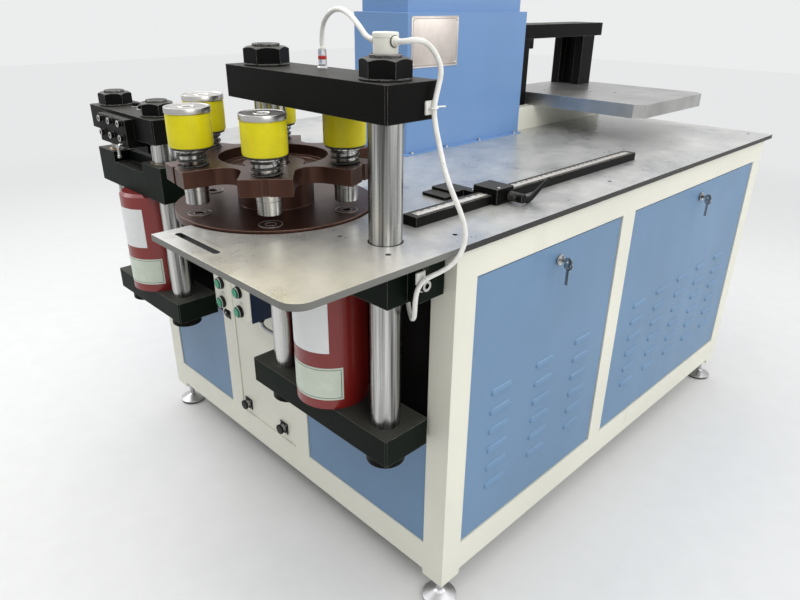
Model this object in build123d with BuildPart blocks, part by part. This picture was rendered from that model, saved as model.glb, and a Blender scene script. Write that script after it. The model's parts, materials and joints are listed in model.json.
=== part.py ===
"""Three-station hydraulic busbar machine: turret punch, cutter and bending station on one cabinet.

Millimetres, +X along the machine towards the bending end, -Y the side with the doors, +Z up.
The origin is the centre of the footprint, on the floor.
"""

import os
from math import cos, radians, sin, tan

from build123d import *

os.makedirs("parts", exist_ok=True)

# Cabinet frame and worktable
cabinet_length = 1520.0
cabinet_depth = 1232.0
frame_floor_gap = 74.0
table_height = 900.0
table_thickness = 12.0
table_nose = 362.0
table_nose_depth = 427.0
table_lip = 12.0
table_end_lip = 25.0
table_corner_radius = 35.0
table_slot_length = 142.0
table_slot_width = 13.0
table_slot_from_left = 325.0
table_slot_from_front = 318.0
table_holes = [(-121.0, 177.0, 5.0), (37.0, 40.0, 5.0), (600.0, 44.0, 5.0), (880.0, 217.0, 3.0)]
table_end_hole_inset = 14.0
table_end_hole = (50.0, 5.0)
hole_play = 2.0
tube_width = 60.0
rail_rise = 15.0
bottom_rail_height = 78.0
top_rail_height = 65.0
short_door_opening = 550.0
sheet = 2.0
weld_lap = 1.0
door_rail_gap = 4.0
door_gap = 3.0
panel_gap = 0.6
door_return = 22.0
panel_inset = 3.0
socket_plate = 34.0
upper_socket_height = 206.0
lower_socket_height = 201.0
upper_socket_from_post = 111.0
lower_socket_from_post = 90.0
socket_corner = 4.0
socket_plate_thickness = 4.0
socket_cap_radius = 14.0
socket_cap_reach = 15.0
socket_body_radius = 11.0
socket_body_reach = 20.0
floor_sheet = 3.0

# Left side: the two blue panels stand either side of the cream access cover
panel_near_edge = 483.0
panel_from_back = 371.0
back_plate_drop = 430.0
back_plate_gap = 0.4
back_plate_thickness = 10.0

# Levelling feet
foot_inset = 30.0
foot_pad_radius = 40.0
foot_pad_height = 22.0
foot_rubber = 6.0
foot_stem_radius = 8.0
foot_nut_height = 12.0
foot_nut_rim = 6.0
foot_pad_edge = 4.0
foot_sole_inset = 2.0

# Door locks, keys and hinges
lock_radius = 11.0
lock_barrel_radius = 9.0
lock_drop = 38.0
lock_from_free_edge = 263.0
long_lock_from_free_edge = 381.0
lock_stand_out = 5.0
cam_length = 36.0
cam_width = 14.0
cam_thickness = 3.0
keeper_width = 40.0
keeper_drop = 20.0
keeper_gap = 4.0
key_reach = 30.0
key_thickness = 2.2
key_blade = 7.0
key_bow_radius = 10.0
key_hole_radius = 2.5
spare_key_drop = 44.0
hinge_pin_radius = 3.0
hinge_inset = 6.0
hinge_collar_radius = 5.0
hinge_block = 11.0
hinge_depth = 14.0
door_clearance = 0.4
fit_clearance = 0.05

# Louvres pressed in the doors
louvre_length = 56.0
louvre_height = 11.0
louvre_depth = 5.0
louvre_rows = 6
louvre_rise = 50.0
louvre_from_door_bottom = 107.0
short_door_louvre_columns = 3
long_door_louvre_columns = 5
short_door_louvre_pitch = 163.0
long_door_louvre_pitch = 136.0

# Columns, cylinders and pull yokes shared by the punch press and the cutter
column_radius = 30.0
column_inset = 79.0
yoke_front = 128.0
yoke_width = 118.0
block_front = 124.0
bushing_wall = 6.0
nut_across_flats = 75.0
nut_height = 34.0
near_nut_turn = 8.0
far_nut_turn = 31.0
nut_chamfer = 4.0
nut_chamfer_taper = -60.0
washer_radius = 43.0
washer_height = 4.0
stub_height = 5.0
stub_radius = 26.0
lower_nut_radius = 40.0
lower_nut_height = 28.0
cylinder_radius = 77.5
cylinder_bore = 55.0
cylinder_floor = 30.0
rod_radius = 40.0
piston_height = 60.0
gland_height = 34.0
gland_step = 8.0
piston_play = 2.0
running_clearance = 0.06
end_gap = 0.4
edge_break = 3.0

# Punch press
press_near_column = 101.0
press_column_spacing = 330.0
press_end_near = 53.0
press_end_far = 72.0
beam_rise = 211.0
beam_height = 60.0
lower_plate_drop = 443.0
lower_plate_height = 60.0
press_block_height = 92.0
press_block_near = 49.0
press_block_far = 520.0
press_stroke = 22.5
bracket_left = 75.0
bracket_right = 5.0
bracket_thickness = 24.0
bracket_bolt_radius = 12.0
bracket_bolt_from_left = 63.0
bracket_bolt_drop = 64.0
bracket_top_gap = 3.0
bracket_bottom_gap = 4.0

# Turret
station_count = 6
station_radius = 165.0
photo_index = -68.7
lobe_reach = 204.0
lobe_width = 96.0
lobe_root_radius = 37.0
turret_hole_radius = 110.0
notch_width = 13.0
notch_depth = 4.0
turret_rise = 100.0
turret_plate_height = 32.0
disc_radius = 203.0
disc_rise = 5.0
disc_height = 15.0
disc_gap = 2.0
turret_play = 3.0
hub_radius = 78.0
plate_recess_depth = 22.0
plate_step_radius = 96.0
plate_step_depth = 2.0
cap_ring_radius = 62.0
cap_ring_height = 8.0
spindle_radius = 45.0
spindle_flange_radius = 70.0
spindle_flange_height = 8.0
die_ring_radius = 22.5
die_bore_radius = 10.0
die_ring_height = 12.0
die_stand_out = 1.0
die_ledge = 5.0
spindle_play = 2.0

# Punches
punch_beam_gap = 3.0
punch_cap_radius = 42.0
punch_cap_height = 10.0
punch_cap_hole = 14.0
punch_cap_dish = 4.0
urethane_radius = 41.0
urethane_length = 64.0
punch_flange_radius = 30.0
punch_flange_height = 6.0
punch_body_radius = 24.0
punch_tip_radius = 22.5
punch_tip_rise = 27.0
punch_tip_length = 26.0
punch_bore_radius = 9.0
punch_bore_depth = 14.0
spring_pocket_radius = 29.0
spring_pocket_depth = 16.0

# Cutter
cutter_far_from_back = 53.0
cutter_column_spacing = 250.0
cutter_end = 61.0
cutter_beam_rise = 57.0
cutter_beam_height = 60.0
cutter_plate_drop = 430.0
cutter_plate_height = 58.0
cutter_block_height = 92.0
cutter_stroke = 20.0
blade_notch_width = 172.0
blade_notch_depth = 28.0
blade_plate_width = 164.0
blade_plate_thickness = 22.0
blade_plate_drop = 9.0
blade_gap = 12.0
blade_from_table = 80.0
blade_thickness = 20.0
blade_bevel = 6.0
screw_row_height = 22.0
screw_pitch_y = 58.0
screw_pitch_z = 36.0
cap_screw_radius = 8.0
cap_screw_head = 9.0

# Control housing on the table
housing_from_left = 440.0
housing_length = 510.0
housing_front = 568.0
housing_depth = 205.0
housing_height = 357.0
housing_flange = 14.0
housing_wall = 3.0
console_height = 62.0
console_inset = 16.0

# Bending station on the table
riser_front = 590.0
riser_depth = 300.0
riser_height = 72.0
riser_length = 540.0
riser_wall = 6.0
bend_plate_left = 1062.0
bend_plate_length = 440.0
bend_plate_front = 212.0
bend_plate_depth = 540.0
bend_plate_height = 40.0
bend_plate_corner = 28.0
bend_hole_radius = 6.0
bend_plate_holes = [(210, 206), (175, 276), (154, 346), (90, 400), (217, 482)]
bend_frame_front = 620.0
bend_frame_depth = 116.0
bend_frame_left = 960.0
bend_frame_length = 536.0
bend_frame_rise = 318.0
bend_bar_height = 42.0
bend_left_post = 92.0
bend_right_post_from = 416.0
bend_right_post = 74.0
bend_step = 10.0
bend_groove_width = 56.0
bend_groove_depth = 30.0
ram_rise = 194.0
ram_radius = 28.0
bend_cylinder_radius = 60.0
bend_cylinder_length = 330.0
bend_cylinder_wall = 20.0
bend_piston_radius = 42.0
bend_piston_length = 40.0
bend_port_inset = 70.0

# Length gauge on the table
gauge_left = 12.0
gauge_length = 846.0
gauge_near = 114.0
gauge_width = 35.0
gauge_height = 20.0
gauge_scale_width = 19.0
gauge_scale_depth = 1.0
gauge_margin = 14.0
slider_at = 264.0
slider_length = 56.0
slider_wall = 14.0
slider_cover = 14.0
slider_foot = 0.6
arm_width = 22.0
arm_height = 14.0
arm_reach = 100.0
stop_depth = 66.0
stop_upper_reach = 30.0
stop_lower_reach = 60.0
arm_from_slider_left = 9.0
lever_boss_radius = 10.0
lever_dip_x = 30.0
lever_dip_z = 8.0
lever_tip_x = 98.0
lever_tip_z = 28.0
lever_pin_radius = 5.0
lever_radius = 6.0
lever_bend = 24.0
lever_stand_off = 38.0

# Push button box
button_box_width = 170.0
button_box_drop = 350.0
button_box_shift = 7.0
box_spacer_radius = 6.0
box_spacer_inset = 36.0
button_box_height = 150.0
button_box_depth = 70.0
button_pitch_y = 83.0
button_pitch_z = 53.0
button_low = 18.0
button_shift = 8.0
button_radius = 11.0
bezel_radius = 15.0
bezel_height = 9.0
box_wall = 3.0
button_stand_out = 4.0
button_collar = 2.0
button_collar_rim = 2.0

# Hydraulic unit and electrical plate inside the cabinet
tank_length = 470.0
tank_depth = 360.0
tank_height = 330.0
tank_left = 800.0
tank_near = 300.0
tank_lid = 12.0
filler_inset = 60.0
filler_radius = 28.0
filler_height = 30.0
level_width = 28.0
level_depth = 10.0
level_rise = 110.0
level_height = 127.0
valve_inset = 30.0
valve_length = 210.0
valve_depth = 60.0
valve_height = 90.0
valve_count = 3
coil_size = 46.0
coil_reach = 40.0
motor_radius = 95.0
motor_length = 220.0
motor_inset = 24.0
motor_foot = 14.0
motor_fins = 24
fin_height = 7.0
fin_thickness = 3.0
bell_length = 50.0
bell_radius = 74.0
pump_size = 70.0
hose_radius = 6.5
hose_bend = 30.0
hose_spacing = 23.0
hose_port = 22.0
hose_run = 90.0
hose_rail_gap = 2.0
control_plate_width = 420.0
control_plate_height = 460.0
control_plate_inset = 65.0
device_margin = 25.0
device_spacing = 8.0
device_rows = [
    (70.0, (120.0, 90.0, 100.0), 95.0, 90.0),
    (210.0, (54.0, 54.0, 54.0, 54.0, 90.0), 80.0, 80.0),
    (350.0, (72.0, 36.0, 36.0, 110.0), 72.0, 85.0),
]

# Cable from the beam to the middle block
cable_radius = 4.5
sensor_radius = 7.5
sensor_height = 38.0
sensor_from_left = 46.0
sensor_from_front = 302.0
sensor_rim = 2.5
sensor_rim_height = 6.0
junction_size = 40.0
junction_height = 32.0
cable_above_middle = 3.0
cable_arc_share = 0.45

# Places worked out from the sizes above
machine_length = table_nose + cabinet_length + table_end_lip
machine_depth = key_reach + cabinet_depth + table_lip
left = -machine_length / 2 + table_nose
right = left + cabinet_length
front = -machine_depth / 2 + key_reach
back = front + cabinet_depth
table_bottom = table_height - table_thickness
bottom_rail_bottom = frame_floor_gap + rail_rise
bottom_rail_top = bottom_rail_bottom + bottom_rail_height
top_rail_bottom = table_bottom - top_rail_height
middle_post_left = left + tube_width + short_door_opening
press_x = left - column_inset
yoke_x = left - yoke_front + yoke_width / 2
press_near_y = front + press_near_column
turret_y = press_near_y + press_column_spacing
press_y = press_near_y + press_column_spacing / 2
cutter_far_y = back - cutter_far_from_back
cutter_near_y = cutter_far_y - cutter_column_spacing
cutter_y = (cutter_near_y + cutter_far_y) / 2
column_bore = column_radius + running_clearance
beam_bottom = table_height + beam_rise
lower_plate_bottom = table_height - lower_plate_drop
press_block_bottom = table_bottom - press_block_height
cutter_beam_bottom = table_height + cutter_beam_rise
cutter_plate_bottom = table_height - cutter_plate_drop
cutter_block_bottom = table_height - cutter_block_height
back_plate_bottom = table_height - back_plate_drop
turret_top = table_height + turret_rise
disc_top = table_height + disc_rise
punch_cap_top = beam_bottom - punch_beam_gap
urethane_bottom = punch_cap_top - punch_cap_height - urethane_length
punch_tip_bottom = table_height + punch_tip_rise
bend_frame_top = table_height + bend_frame_rise
ram_height = table_height + ram_rise
button_box_bottom = table_height - button_box_drop
station_angles = [photo_index - 60.0 * k for k in range(station_count)]
stations = [
    (press_x + station_radius * cos(radians(a)), turret_y + station_radius * sin(radians(a)))
    for a in station_angles
]
turret_bottom = turret_top - turret_plate_height
disc_bottom = disc_top - disc_height
door_face = front + panel_inset
door_bottom = bottom_rail_top + door_rail_gap
door_top = top_rail_bottom - door_rail_gap
lock_height = door_top - lock_drop
louvre_bottom = door_bottom + louvre_from_door_bottom
short_door_left = left + tube_width + door_gap
short_door_right = middle_post_left - door_gap
long_door_left = middle_post_left + tube_width + door_gap
long_door_right = right - tube_width - door_gap
short_hinge_x = short_door_right - hinge_inset
long_hinge_x = long_door_right - hinge_inset
hinge_y = door_face + hinge_inset
short_lock_x = short_door_right - lock_from_free_edge
long_lock_x = long_door_right - long_lock_from_free_edge
keeper_y = door_face + door_return + keeper_gap
cam_y = keeper_y + cam_thickness + door_clearance
recess_floor = disc_bottom - disc_gap
beam_top = beam_bottom + beam_height
cover_x = left + panel_inset
cover_near = front + panel_near_edge + tube_width
cover_far = back - panel_from_back - tube_width
socket_places = [
    (cover_far + tube_width - lower_socket_from_post, lower_socket_height),
    (cover_near - tube_width + upper_socket_from_post, upper_socket_height),
]
riser_left = left + bend_frame_left
ram_y = front + bend_frame_front + bend_frame_depth / 2
bend_cylinder_left = riser_left - bend_cylinder_length
bend_port_x = bend_cylinder_left + bend_port_inset


def save(piece, name):
    """Labels a finished piece and writes its STEP file."""
    piece.part.label = name
    export_step(piece.part, f"parts/{name}.step")


def save_group(name, *pieces):
    """Writes pieces that touch and move together as separate solids of one node."""
    group = Compound(label=name, children=[solid for piece in pieces for solid in piece.part.solids()])
    export_step(group, f"parts/{name}.step")


def slab(x_from, x_to, y_from, y_to, z_from, z_to, mode=Mode.ADD):
    """Adds a straight block between six planes to the piece being built."""
    with BuildSketch(Plane.XY.offset(z_from)) as outline:
        with Locations(((x_from + x_to) / 2, (y_from + y_to) / 2)):
            Rectangle(x_to - x_from, y_to - y_from)
    extrude(outline.sketch, amount=z_to - z_from, mode=mode)


def rods(points, radius, z_from, z_to, mode=Mode.ADD):
    """Adds the same upright round block at each of several points."""
    with BuildSketch(Plane.XY.offset(z_from)) as outline:
        with Locations(*points):
            Circle(radius)
    extrude(outline.sketch, amount=z_to - z_from, mode=mode)


def drum(x, y, radius, z_from, z_to, mode=Mode.ADD):
    """Adds one upright round block."""
    rods([(x, y)], radius, z_from, z_to, mode)


def bar(plane, points, radius, length, mode=Mode.ADD):
    """Adds round blocks along a plane's normal, starting at points given in that plane."""
    with BuildSketch(plane) as outline:
        with Locations(*points):
            Circle(radius)
    extrude(outline.sketch, amount=length, mode=mode)


def tube(points, radii, radius):
    """Adds a round tube along straight runs joined by tangent arcs."""
    with BuildLine() as path:
        FilletPolyline(*points, radius=radii)
    with BuildSketch(Plane(path.line @ 0, z_dir=path.line % 0)) as section:
        Circle(radius)
    sweep(section.sketch, path=path.line)


# Cabinet frame, one welding of square tubes
frame_x = [left, middle_post_left, right - tube_width]
end_posts_y = [front, front + panel_near_edge, cover_far, back - tube_width]
with BuildPart() as cabinet_frame:
    for x in frame_x:
        for y in (front, back - tube_width):
            foot = frame_floor_gap if x != middle_post_left else bottom_rail_bottom
            slab(x, x + tube_width, y, y + tube_width, foot, table_bottom)
    for y in end_posts_y[1:3]:
        slab(left, left + tube_width, y, y + tube_width, bottom_rail_bottom, table_bottom)
    for low, high in ((bottom_rail_bottom, bottom_rail_top), (top_rail_bottom, table_bottom)):
        for y in (front, back - tube_width):
            slab(left + weld_lap, right - weld_lap, y, y + tube_width, low, high)
        for x in frame_x:
            slab(x, x + tube_width, front + weld_lap, back - weld_lap, low, high)
with BuildPart() as lock_keepers:
    for x in (short_lock_x, long_lock_x):
        slab(
            x - keeper_width / 2, x + keeper_width / 2, keeper_y, keeper_y + cam_thickness,
            top_rail_bottom - keeper_drop, top_rail_bottom,
        )
save_group("cabinet_frame", cabinet_frame, lock_keepers)

# Feet: swivel pad with a rubber sole, stem and jam nut, one solid each and a nut each
foot_points = [
    (x, y)
    for x in (left + foot_inset, right - foot_inset)
    for y in (front + foot_inset, back - foot_inset)
]
stem_top = frame_floor_gap
with BuildPart() as levelling_feet:
    for x, y in foot_points:
        with BuildSketch(Plane.XZ.offset(-y)):
            with BuildLine():
                Polyline(
                    (x, foot_rubber),
                    (x + foot_pad_radius, foot_rubber),
                    (x + foot_pad_radius, foot_rubber + foot_pad_edge),
                    (x + foot_stem_radius + foot_nut_rim, foot_pad_height),
                    (x + foot_stem_radius, foot_pad_height + foot_pad_edge),
                    (x + foot_stem_radius, stem_top),
                    (x, stem_top),
                    close=True,
                )
            make_face()
        revolve(axis=Axis((x, y, 0), (0, 0, 1)))
    with BuildSketch(Plane.XY.offset(stem_top - foot_nut_height)):
        with Locations(*foot_points):
            RegularPolygon(foot_stem_radius + foot_nut_rim, 6, major_radius=False)
            Circle(foot_stem_radius, mode=Mode.SUBTRACT)
    extrude(amount=foot_nut_height)
save(levelling_feet, "levelling_feet")

with BuildPart() as foot_soles:
    rods(foot_points, foot_pad_radius - foot_sole_inset, 0, foot_rubber)
save(foot_soles, "foot_soles")

# Worktable: one ground plate with a nose, a round opening for the turret and holes for the columns
nose_left = left - table_nose
nose_back = front - table_lip + table_nose_depth
table_right = right + table_end_lip
turret_opening = disc_radius + turret_play
end_hole_x = cabinet_length - table_end_hole_inset
with BuildPart() as worktable:
    with BuildSketch(Plane.XY.offset(table_bottom)):
        with BuildLine():
            Polyline(
                (nose_left, front - table_lip),
                (table_right, front - table_lip),
                (table_right, back + table_lip),
                (left, back + table_lip),
                (left, nose_back),
                (nose_left, nose_back),
                close=True,
            )
        make_face()
        with Locations((press_x, turret_y)):
            Circle(turret_opening, mode=Mode.SUBTRACT)
        with Locations((press_x, press_near_y)):
            Circle(column_radius + hole_play, mode=Mode.SUBTRACT)
        for hole_x, hole_y, hole_radius in (*table_holes, (end_hole_x, *table_end_hole)):
            with Locations((left + hole_x, front + hole_y)):
                Circle(hole_radius, mode=Mode.SUBTRACT)
        with Locations((bend_port_x, ram_y)):
            Circle(hose_radius + hole_play, mode=Mode.SUBTRACT)
        with Locations(Location((left - table_slot_from_left, front + table_slot_from_front), 90)):
            SlotOverall(table_slot_length, table_slot_width, mode=Mode.SUBTRACT)
    extrude(amount=table_thickness)
    nose_corner = (nose_left, front - table_lip, table_height)
    fillet(worktable.edges().filter_by(Axis.Z).sort_by_distance(nose_corner)[0], table_corner_radius)
save(worktable, "worktable")

with BuildPart() as floor_panel:
    slab(
        left + tube_width / 2,
        right - tube_width / 2,
        front + tube_width / 2,
        back - tube_width / 2,
        bottom_rail_top + end_gap,
        bottom_rail_top + end_gap + floor_sheet,
    )
    for x in frame_x:
        for y in (front, back - tube_width):
            slab(
                x - weld_lap, x + tube_width + weld_lap, y - weld_lap, y + tube_width + weld_lap,
                bottom_rail_top, bottom_rail_top + 2 * floor_sheet, Mode.SUBTRACT,
            )
    for y in end_posts_y[1:3]:
        slab(
            left - weld_lap, left + tube_width + weld_lap, y - weld_lap, y + tube_width + weld_lap,
            bottom_rail_top, bottom_rail_top + 2 * floor_sheet, Mode.SUBTRACT,
        )
save(floor_panel, "floor_panel")


def pan(x_from, x_to, y_from, y_to, z_from, z_to, outside, wall=sheet):
    """Adds a folded sheet pan whose closed face looks towards outside, such as "-Y"."""
    slab(x_from, x_to, y_from, y_to, z_from, z_to)
    inner = {
        "-Y": (x_from + wall, x_to - wall, y_from + wall, y_to + wall),
        "+Y": (x_from + wall, x_to - wall, y_from - wall, y_to - wall),
        "-X": (x_from + wall, x_to + wall, y_from + wall, y_to - wall),
        "+X": (x_from - wall, x_to - wall, y_from + wall, y_to - wall),
    }[outside]
    slab(*inner, z_from + wall, z_to - wall, Mode.SUBTRACT)


# Blue panels: two below the stations on the left, two behind and one on the right
panel_bottom = bottom_rail_top + panel_gap
panel_top = top_rail_bottom - panel_gap
with BuildPart() as side_panels:
    for y_from, y_to in (
        (front + tube_width, front + panel_near_edge),
        (back - panel_from_back, back - tube_width),
    ):
        pan(
            cover_x, cover_x + door_return, y_from + panel_gap, y_to - panel_gap,
            panel_bottom, back_plate_bottom - panel_gap, "-X",
        )
    for x_from, x_to in (
        (left + tube_width, middle_post_left),
        (middle_post_left + tube_width, right - tube_width),
    ):
        pan(
            x_from + panel_gap, x_to - panel_gap, back - panel_inset - door_return, back - panel_inset,
            panel_bottom + door_rail_gap, panel_top, "+Y",
        )
    pan(
        right - panel_inset - door_return, right - panel_inset, front + tube_width + panel_gap,
        back - tube_width - panel_gap, panel_bottom + door_rail_gap, panel_top, "+X",
    )
save(side_panels, "side_panels")

with BuildPart() as access_cover:
    pan(
        cover_x, cover_x + door_return, cover_near + panel_gap, cover_far - panel_gap,
        panel_bottom, panel_top, "-X",
    )
    bar(Plane.YZ.offset(cover_x), socket_places, socket_body_radius + fit_clearance, sheet, Mode.SUBTRACT)
save(access_cover, "access_cover")

# Two capped plug sockets on the cover
with BuildPart() as cover_sockets:
    with BuildSketch(Plane.YZ.offset(cover_x)) as plates:
        with Locations(*socket_places):
            RectangleRounded(socket_plate, socket_plate, socket_corner)
    extrude(plates.sketch, amount=-socket_plate_thickness)
    bar(
        Plane.YZ.offset(cover_x - socket_plate_thickness), socket_places, socket_cap_radius,
        -socket_cap_reach,
    )
    bar(Plane.YZ.offset(cover_x), socket_places, socket_body_radius, socket_body_reach)
save(cover_sockets, "cover_sockets")

# Black back plates close the openings behind the press and the cutter
with BuildPart() as back_plates:
    for y_from, y_to, z_to in (
        (front + tube_width, front + panel_near_edge, press_block_bottom - weld_lap),
        (back - panel_from_back, back - tube_width, cutter_block_bottom - weld_lap),
    ):
        slab(
            cover_x, cover_x + back_plate_thickness, y_from + back_plate_gap, y_to - back_plate_gap,
            back_plate_bottom, z_to,
        )
save(back_plates, "back_plates")


def louvres(x_centre, columns, pitch, face_y):
    """Presses a field of vents, a hood over each slot, into the face of a door."""
    places = [
        (x_centre + pitch * (column - (columns - 1) / 2), louvre_bottom + louvre_rise * row)
        for column in range(columns)
        for row in range(louvre_rows)
    ]
    for x, z in places:
        with BuildSketch(Plane.YZ.offset(x - louvre_length / 2)) as hood:
            with BuildLine():
                Polyline(
                    (face_y + sheet / 2, z),
                    (face_y - louvre_depth, z),
                    (face_y, z + louvre_height),
                    (face_y + sheet / 2, z + louvre_height),
                    close=True,
                )
            make_face()
        extrude(hood.sketch, amount=louvre_length)


def door(x_from, x_to, columns, pitch, lock_x):
    """Adds one folded sheet door: louvres, a lock hole and a pivot block in each right corner."""
    pan(x_from, x_to, door_face, door_face + door_return, door_bottom, door_top, "-Y")
    for z_from, z_to in ((door_bottom, door_bottom + hinge_depth), (door_top - hinge_depth, door_top)):
        slab(x_to - hinge_block, x_to, door_face, door_face + hinge_block, z_from, z_to)
        drum(x_to - hinge_inset, hinge_y, hinge_pin_radius + fit_clearance, z_from, z_to, Mode.SUBTRACT)
    louvres((x_from + x_to) / 2, columns, pitch, door_face)
    bar(
        Plane.XZ.offset(-door_face), [(lock_x, lock_height)],
        lock_barrel_radius + fit_clearance, -sheet, Mode.SUBTRACT,
    )


# Doors, hinged at the right edge of each opening on corner pins
with BuildPart() as short_door:
    door(short_door_left, short_door_right, short_door_louvre_columns, short_door_louvre_pitch, short_lock_x)
save(short_door, "short_door")

with BuildPart() as long_door:
    door(long_door_left, long_door_right, long_door_louvre_columns, long_door_louvre_pitch, long_lock_x)
save(long_door, "long_door")

with BuildPart() as hinge_pins:
    pin_points = [(short_hinge_x, hinge_y), (long_hinge_x, hinge_y)]
    rods(pin_points, hinge_pin_radius, bottom_rail_top, door_bottom + hinge_depth - weld_lap)
    rods(pin_points, hinge_collar_radius, bottom_rail_top, door_bottom - door_clearance)
    rods(pin_points, hinge_pin_radius, door_top - hinge_depth + weld_lap, top_rail_bottom)
    rods(pin_points, hinge_collar_radius, door_top + door_clearance, top_rail_bottom)
save(hinge_pins, "hinge_pins")


def lock(lock_x):
    """Adds a cam lock: head, barrel, cam, the key in it and the spare key hanging from the first."""
    centre = [(lock_x, lock_height)]
    bar(Plane.XZ.offset(-door_face), centre, lock_radius, lock_stand_out)
    bar(Plane.XZ.offset(-door_face), centre, lock_barrel_radius, -(cam_y + cam_thickness - door_face))
    with BuildSketch(Plane.XZ.offset(-cam_y)) as cam:
        with Locations((lock_x + cam_length / 2 - cam_width / 2, lock_height)):
            SlotOverall(cam_length, cam_width)
    extrude(cam.sketch, amount=-cam_thickness)
    bow_y = front - key_reach + key_bow_radius
    with BuildSketch(Plane.YZ.offset(lock_x - key_thickness / 2)) as key:
        with Locations(((bow_y + door_face) / 2, lock_height)):
            Rectangle(door_face - bow_y, key_blade)
        with Locations((bow_y, lock_height)):
            Circle(key_bow_radius)
        with Locations((bow_y, lock_height)):
            Circle(key_hole_radius, mode=Mode.SUBTRACT)
    extrude(key.sketch, amount=key_thickness)
    with BuildSketch(Plane.YZ.offset(lock_x + key_thickness / 2)) as spare:
        with Locations((bow_y, lock_height - key_bow_radius)):
            Circle(key_bow_radius)
        with Locations((bow_y, lock_height - key_bow_radius - spare_key_drop / 2)):
            Rectangle(key_blade, spare_key_drop)
        with Locations((bow_y, lock_height)):
            Circle(key_hole_radius, mode=Mode.SUBTRACT)
    extrude(spare.sketch, amount=key_thickness)


with BuildPart() as short_lock:
    lock(short_lock_x)
save(short_lock, "short_lock")

with BuildPart() as long_lock:
    lock(long_lock_x)
save(long_lock, "long_lock")


def yoke_plate(y_from, y_to, z_from, z_to, column_points):
    """Adds a moving beam or lower plate of a pull station, bored for its two columns."""
    with BuildSketch(Plane.XY.offset(z_from)) as outline:
        with Locations((yoke_x, (y_from + y_to) / 2)):
            Rectangle(yoke_width, y_to - y_from)
        chamfer(outline.vertices(), edge_break)
        with Locations(*column_points):
            Circle(column_radius, mode=Mode.SUBTRACT)
    extrude(outline.sketch, amount=z_to - z_from)


def yoke_block(y_from, y_to, z_from, z_to, column_points):
    """Adds the fixed block of a pull station, bored for the column bushings."""
    slab(left - block_front, left, y_from, y_to, z_from, z_to)
    rods(column_points, column_bore + bushing_wall, z_from, z_to, Mode.SUBTRACT)


def yoke_columns(column_points, plate_z, beam_z):
    """Adds two columns, turned down above the beam and below the plate for their nuts."""
    rods(column_points, column_radius, plate_z, beam_z)
    rods(column_points, stub_radius, plate_z - lower_nut_height, beam_z + nut_height + stub_height)


def column_nuts(column_points, plate_z, beam_z):
    """Adds chamfered hexagon nuts with washers on a beam and round nuts under a lower plate."""
    for (x, y), turned in zip(column_points, (near_nut_turn, far_nut_turn)):
        with BuildSketch(Plane.XY.offset(beam_z + washer_height)) as hexagon:
            with Locations((x, y)):
                RegularPolygon(nut_across_flats / 2, 6, major_radius=False, rotation=turned)
        extrude(hexagon.sketch, amount=nut_height - washer_height)
        drum(x, y, washer_radius, beam_z, beam_z + washer_height)
    with BuildSketch(Plane.XY.offset(beam_z + nut_height)) as rims:
        with Locations(*column_points):
            Circle(washer_radius + nut_chamfer)
            Circle(nut_across_flats / 2, mode=Mode.SUBTRACT)
    extrude(rims.sketch, amount=-nut_chamfer * 2, taper=nut_chamfer_taper, mode=Mode.SUBTRACT)
    rods(column_points, stub_radius, beam_z, beam_z + nut_height, Mode.SUBTRACT)
    with BuildSketch(Plane.XY.offset(plate_z - lower_nut_height)) as rounds:
        with Locations(*column_points):
            Circle(lower_nut_radius)
            Circle(stub_radius, mode=Mode.SUBTRACT)
    extrude(rounds.sketch, amount=lower_nut_height)


def pull_cylinder(x, y, z_from, z_to):
    """Adds a cylinder with a closed floor and a gland, running on the piston rod fixed above it."""
    with BuildSketch(Plane.XZ.offset(-y)) as profile:
        with BuildLine():
            Polyline(
                (x, z_from),
                (x + cylinder_radius, z_from),
                (x + cylinder_radius, z_to - gland_step),
                (x + cylinder_radius - gland_step, z_to),
                (x + rod_radius + running_clearance, z_to),
                (x + rod_radius + running_clearance, z_to - gland_height),
                (x + cylinder_bore + running_clearance, z_to - gland_height),
                (x + cylinder_bore + running_clearance, z_from + cylinder_floor),
                (x, z_from + cylinder_floor),
                close=True,
            )
        make_face()
    revolve(profile.sketch, axis=Axis((x, y, 0), (0, 0, 1)))


# Punch press: fixed block under the table, and a yoke of beam, columns, lower plate and cylinder
press_points = [(press_x, press_near_y), (press_x, turret_y)]
press_from = press_near_y - press_end_near
press_to = turret_y + press_end_far
lower_plate_top = lower_plate_bottom + lower_plate_height
press_gland_top = press_block_bottom - end_gap
with BuildPart() as press_block:
    block_near = front + press_block_near
    yoke_block(block_near, front + press_block_far, press_block_bottom, table_bottom, press_points)
    slab(
        left - bracket_left, left - bracket_right, block_near - bracket_thickness, block_near,
        press_block_bottom + bracket_bottom_gap, table_bottom - bracket_top_gap,
    )
    bolt_point = (left - bracket_bolt_from_left, table_height - bracket_bolt_drop)
    bar(
        Plane.XZ.offset(bracket_thickness - block_near), [bolt_point], bracket_bolt_radius,
        cap_screw_head,
    )
save(press_block, "press_block")

with BuildPart() as press_beam:
    yoke_plate(press_from, press_to, beam_bottom, beam_top, press_points)
save(press_beam, "press_beam")

with BuildPart() as press_lower_plate:
    yoke_plate(press_from, press_to, lower_plate_bottom, lower_plate_top, press_points)
save(press_lower_plate, "press_lower_plate")

with BuildPart() as press_columns:
    yoke_columns(press_points, lower_plate_bottom, beam_top)
save(press_columns, "press_columns")

with BuildPart() as press_nuts:
    column_nuts(press_points, lower_plate_bottom, beam_top)
save(press_nuts, "press_nuts")

with BuildPart() as press_cylinder:
    pull_cylinder(press_x, press_y, lower_plate_top, press_gland_top)
save(press_cylinder, "press_cylinder")

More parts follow.
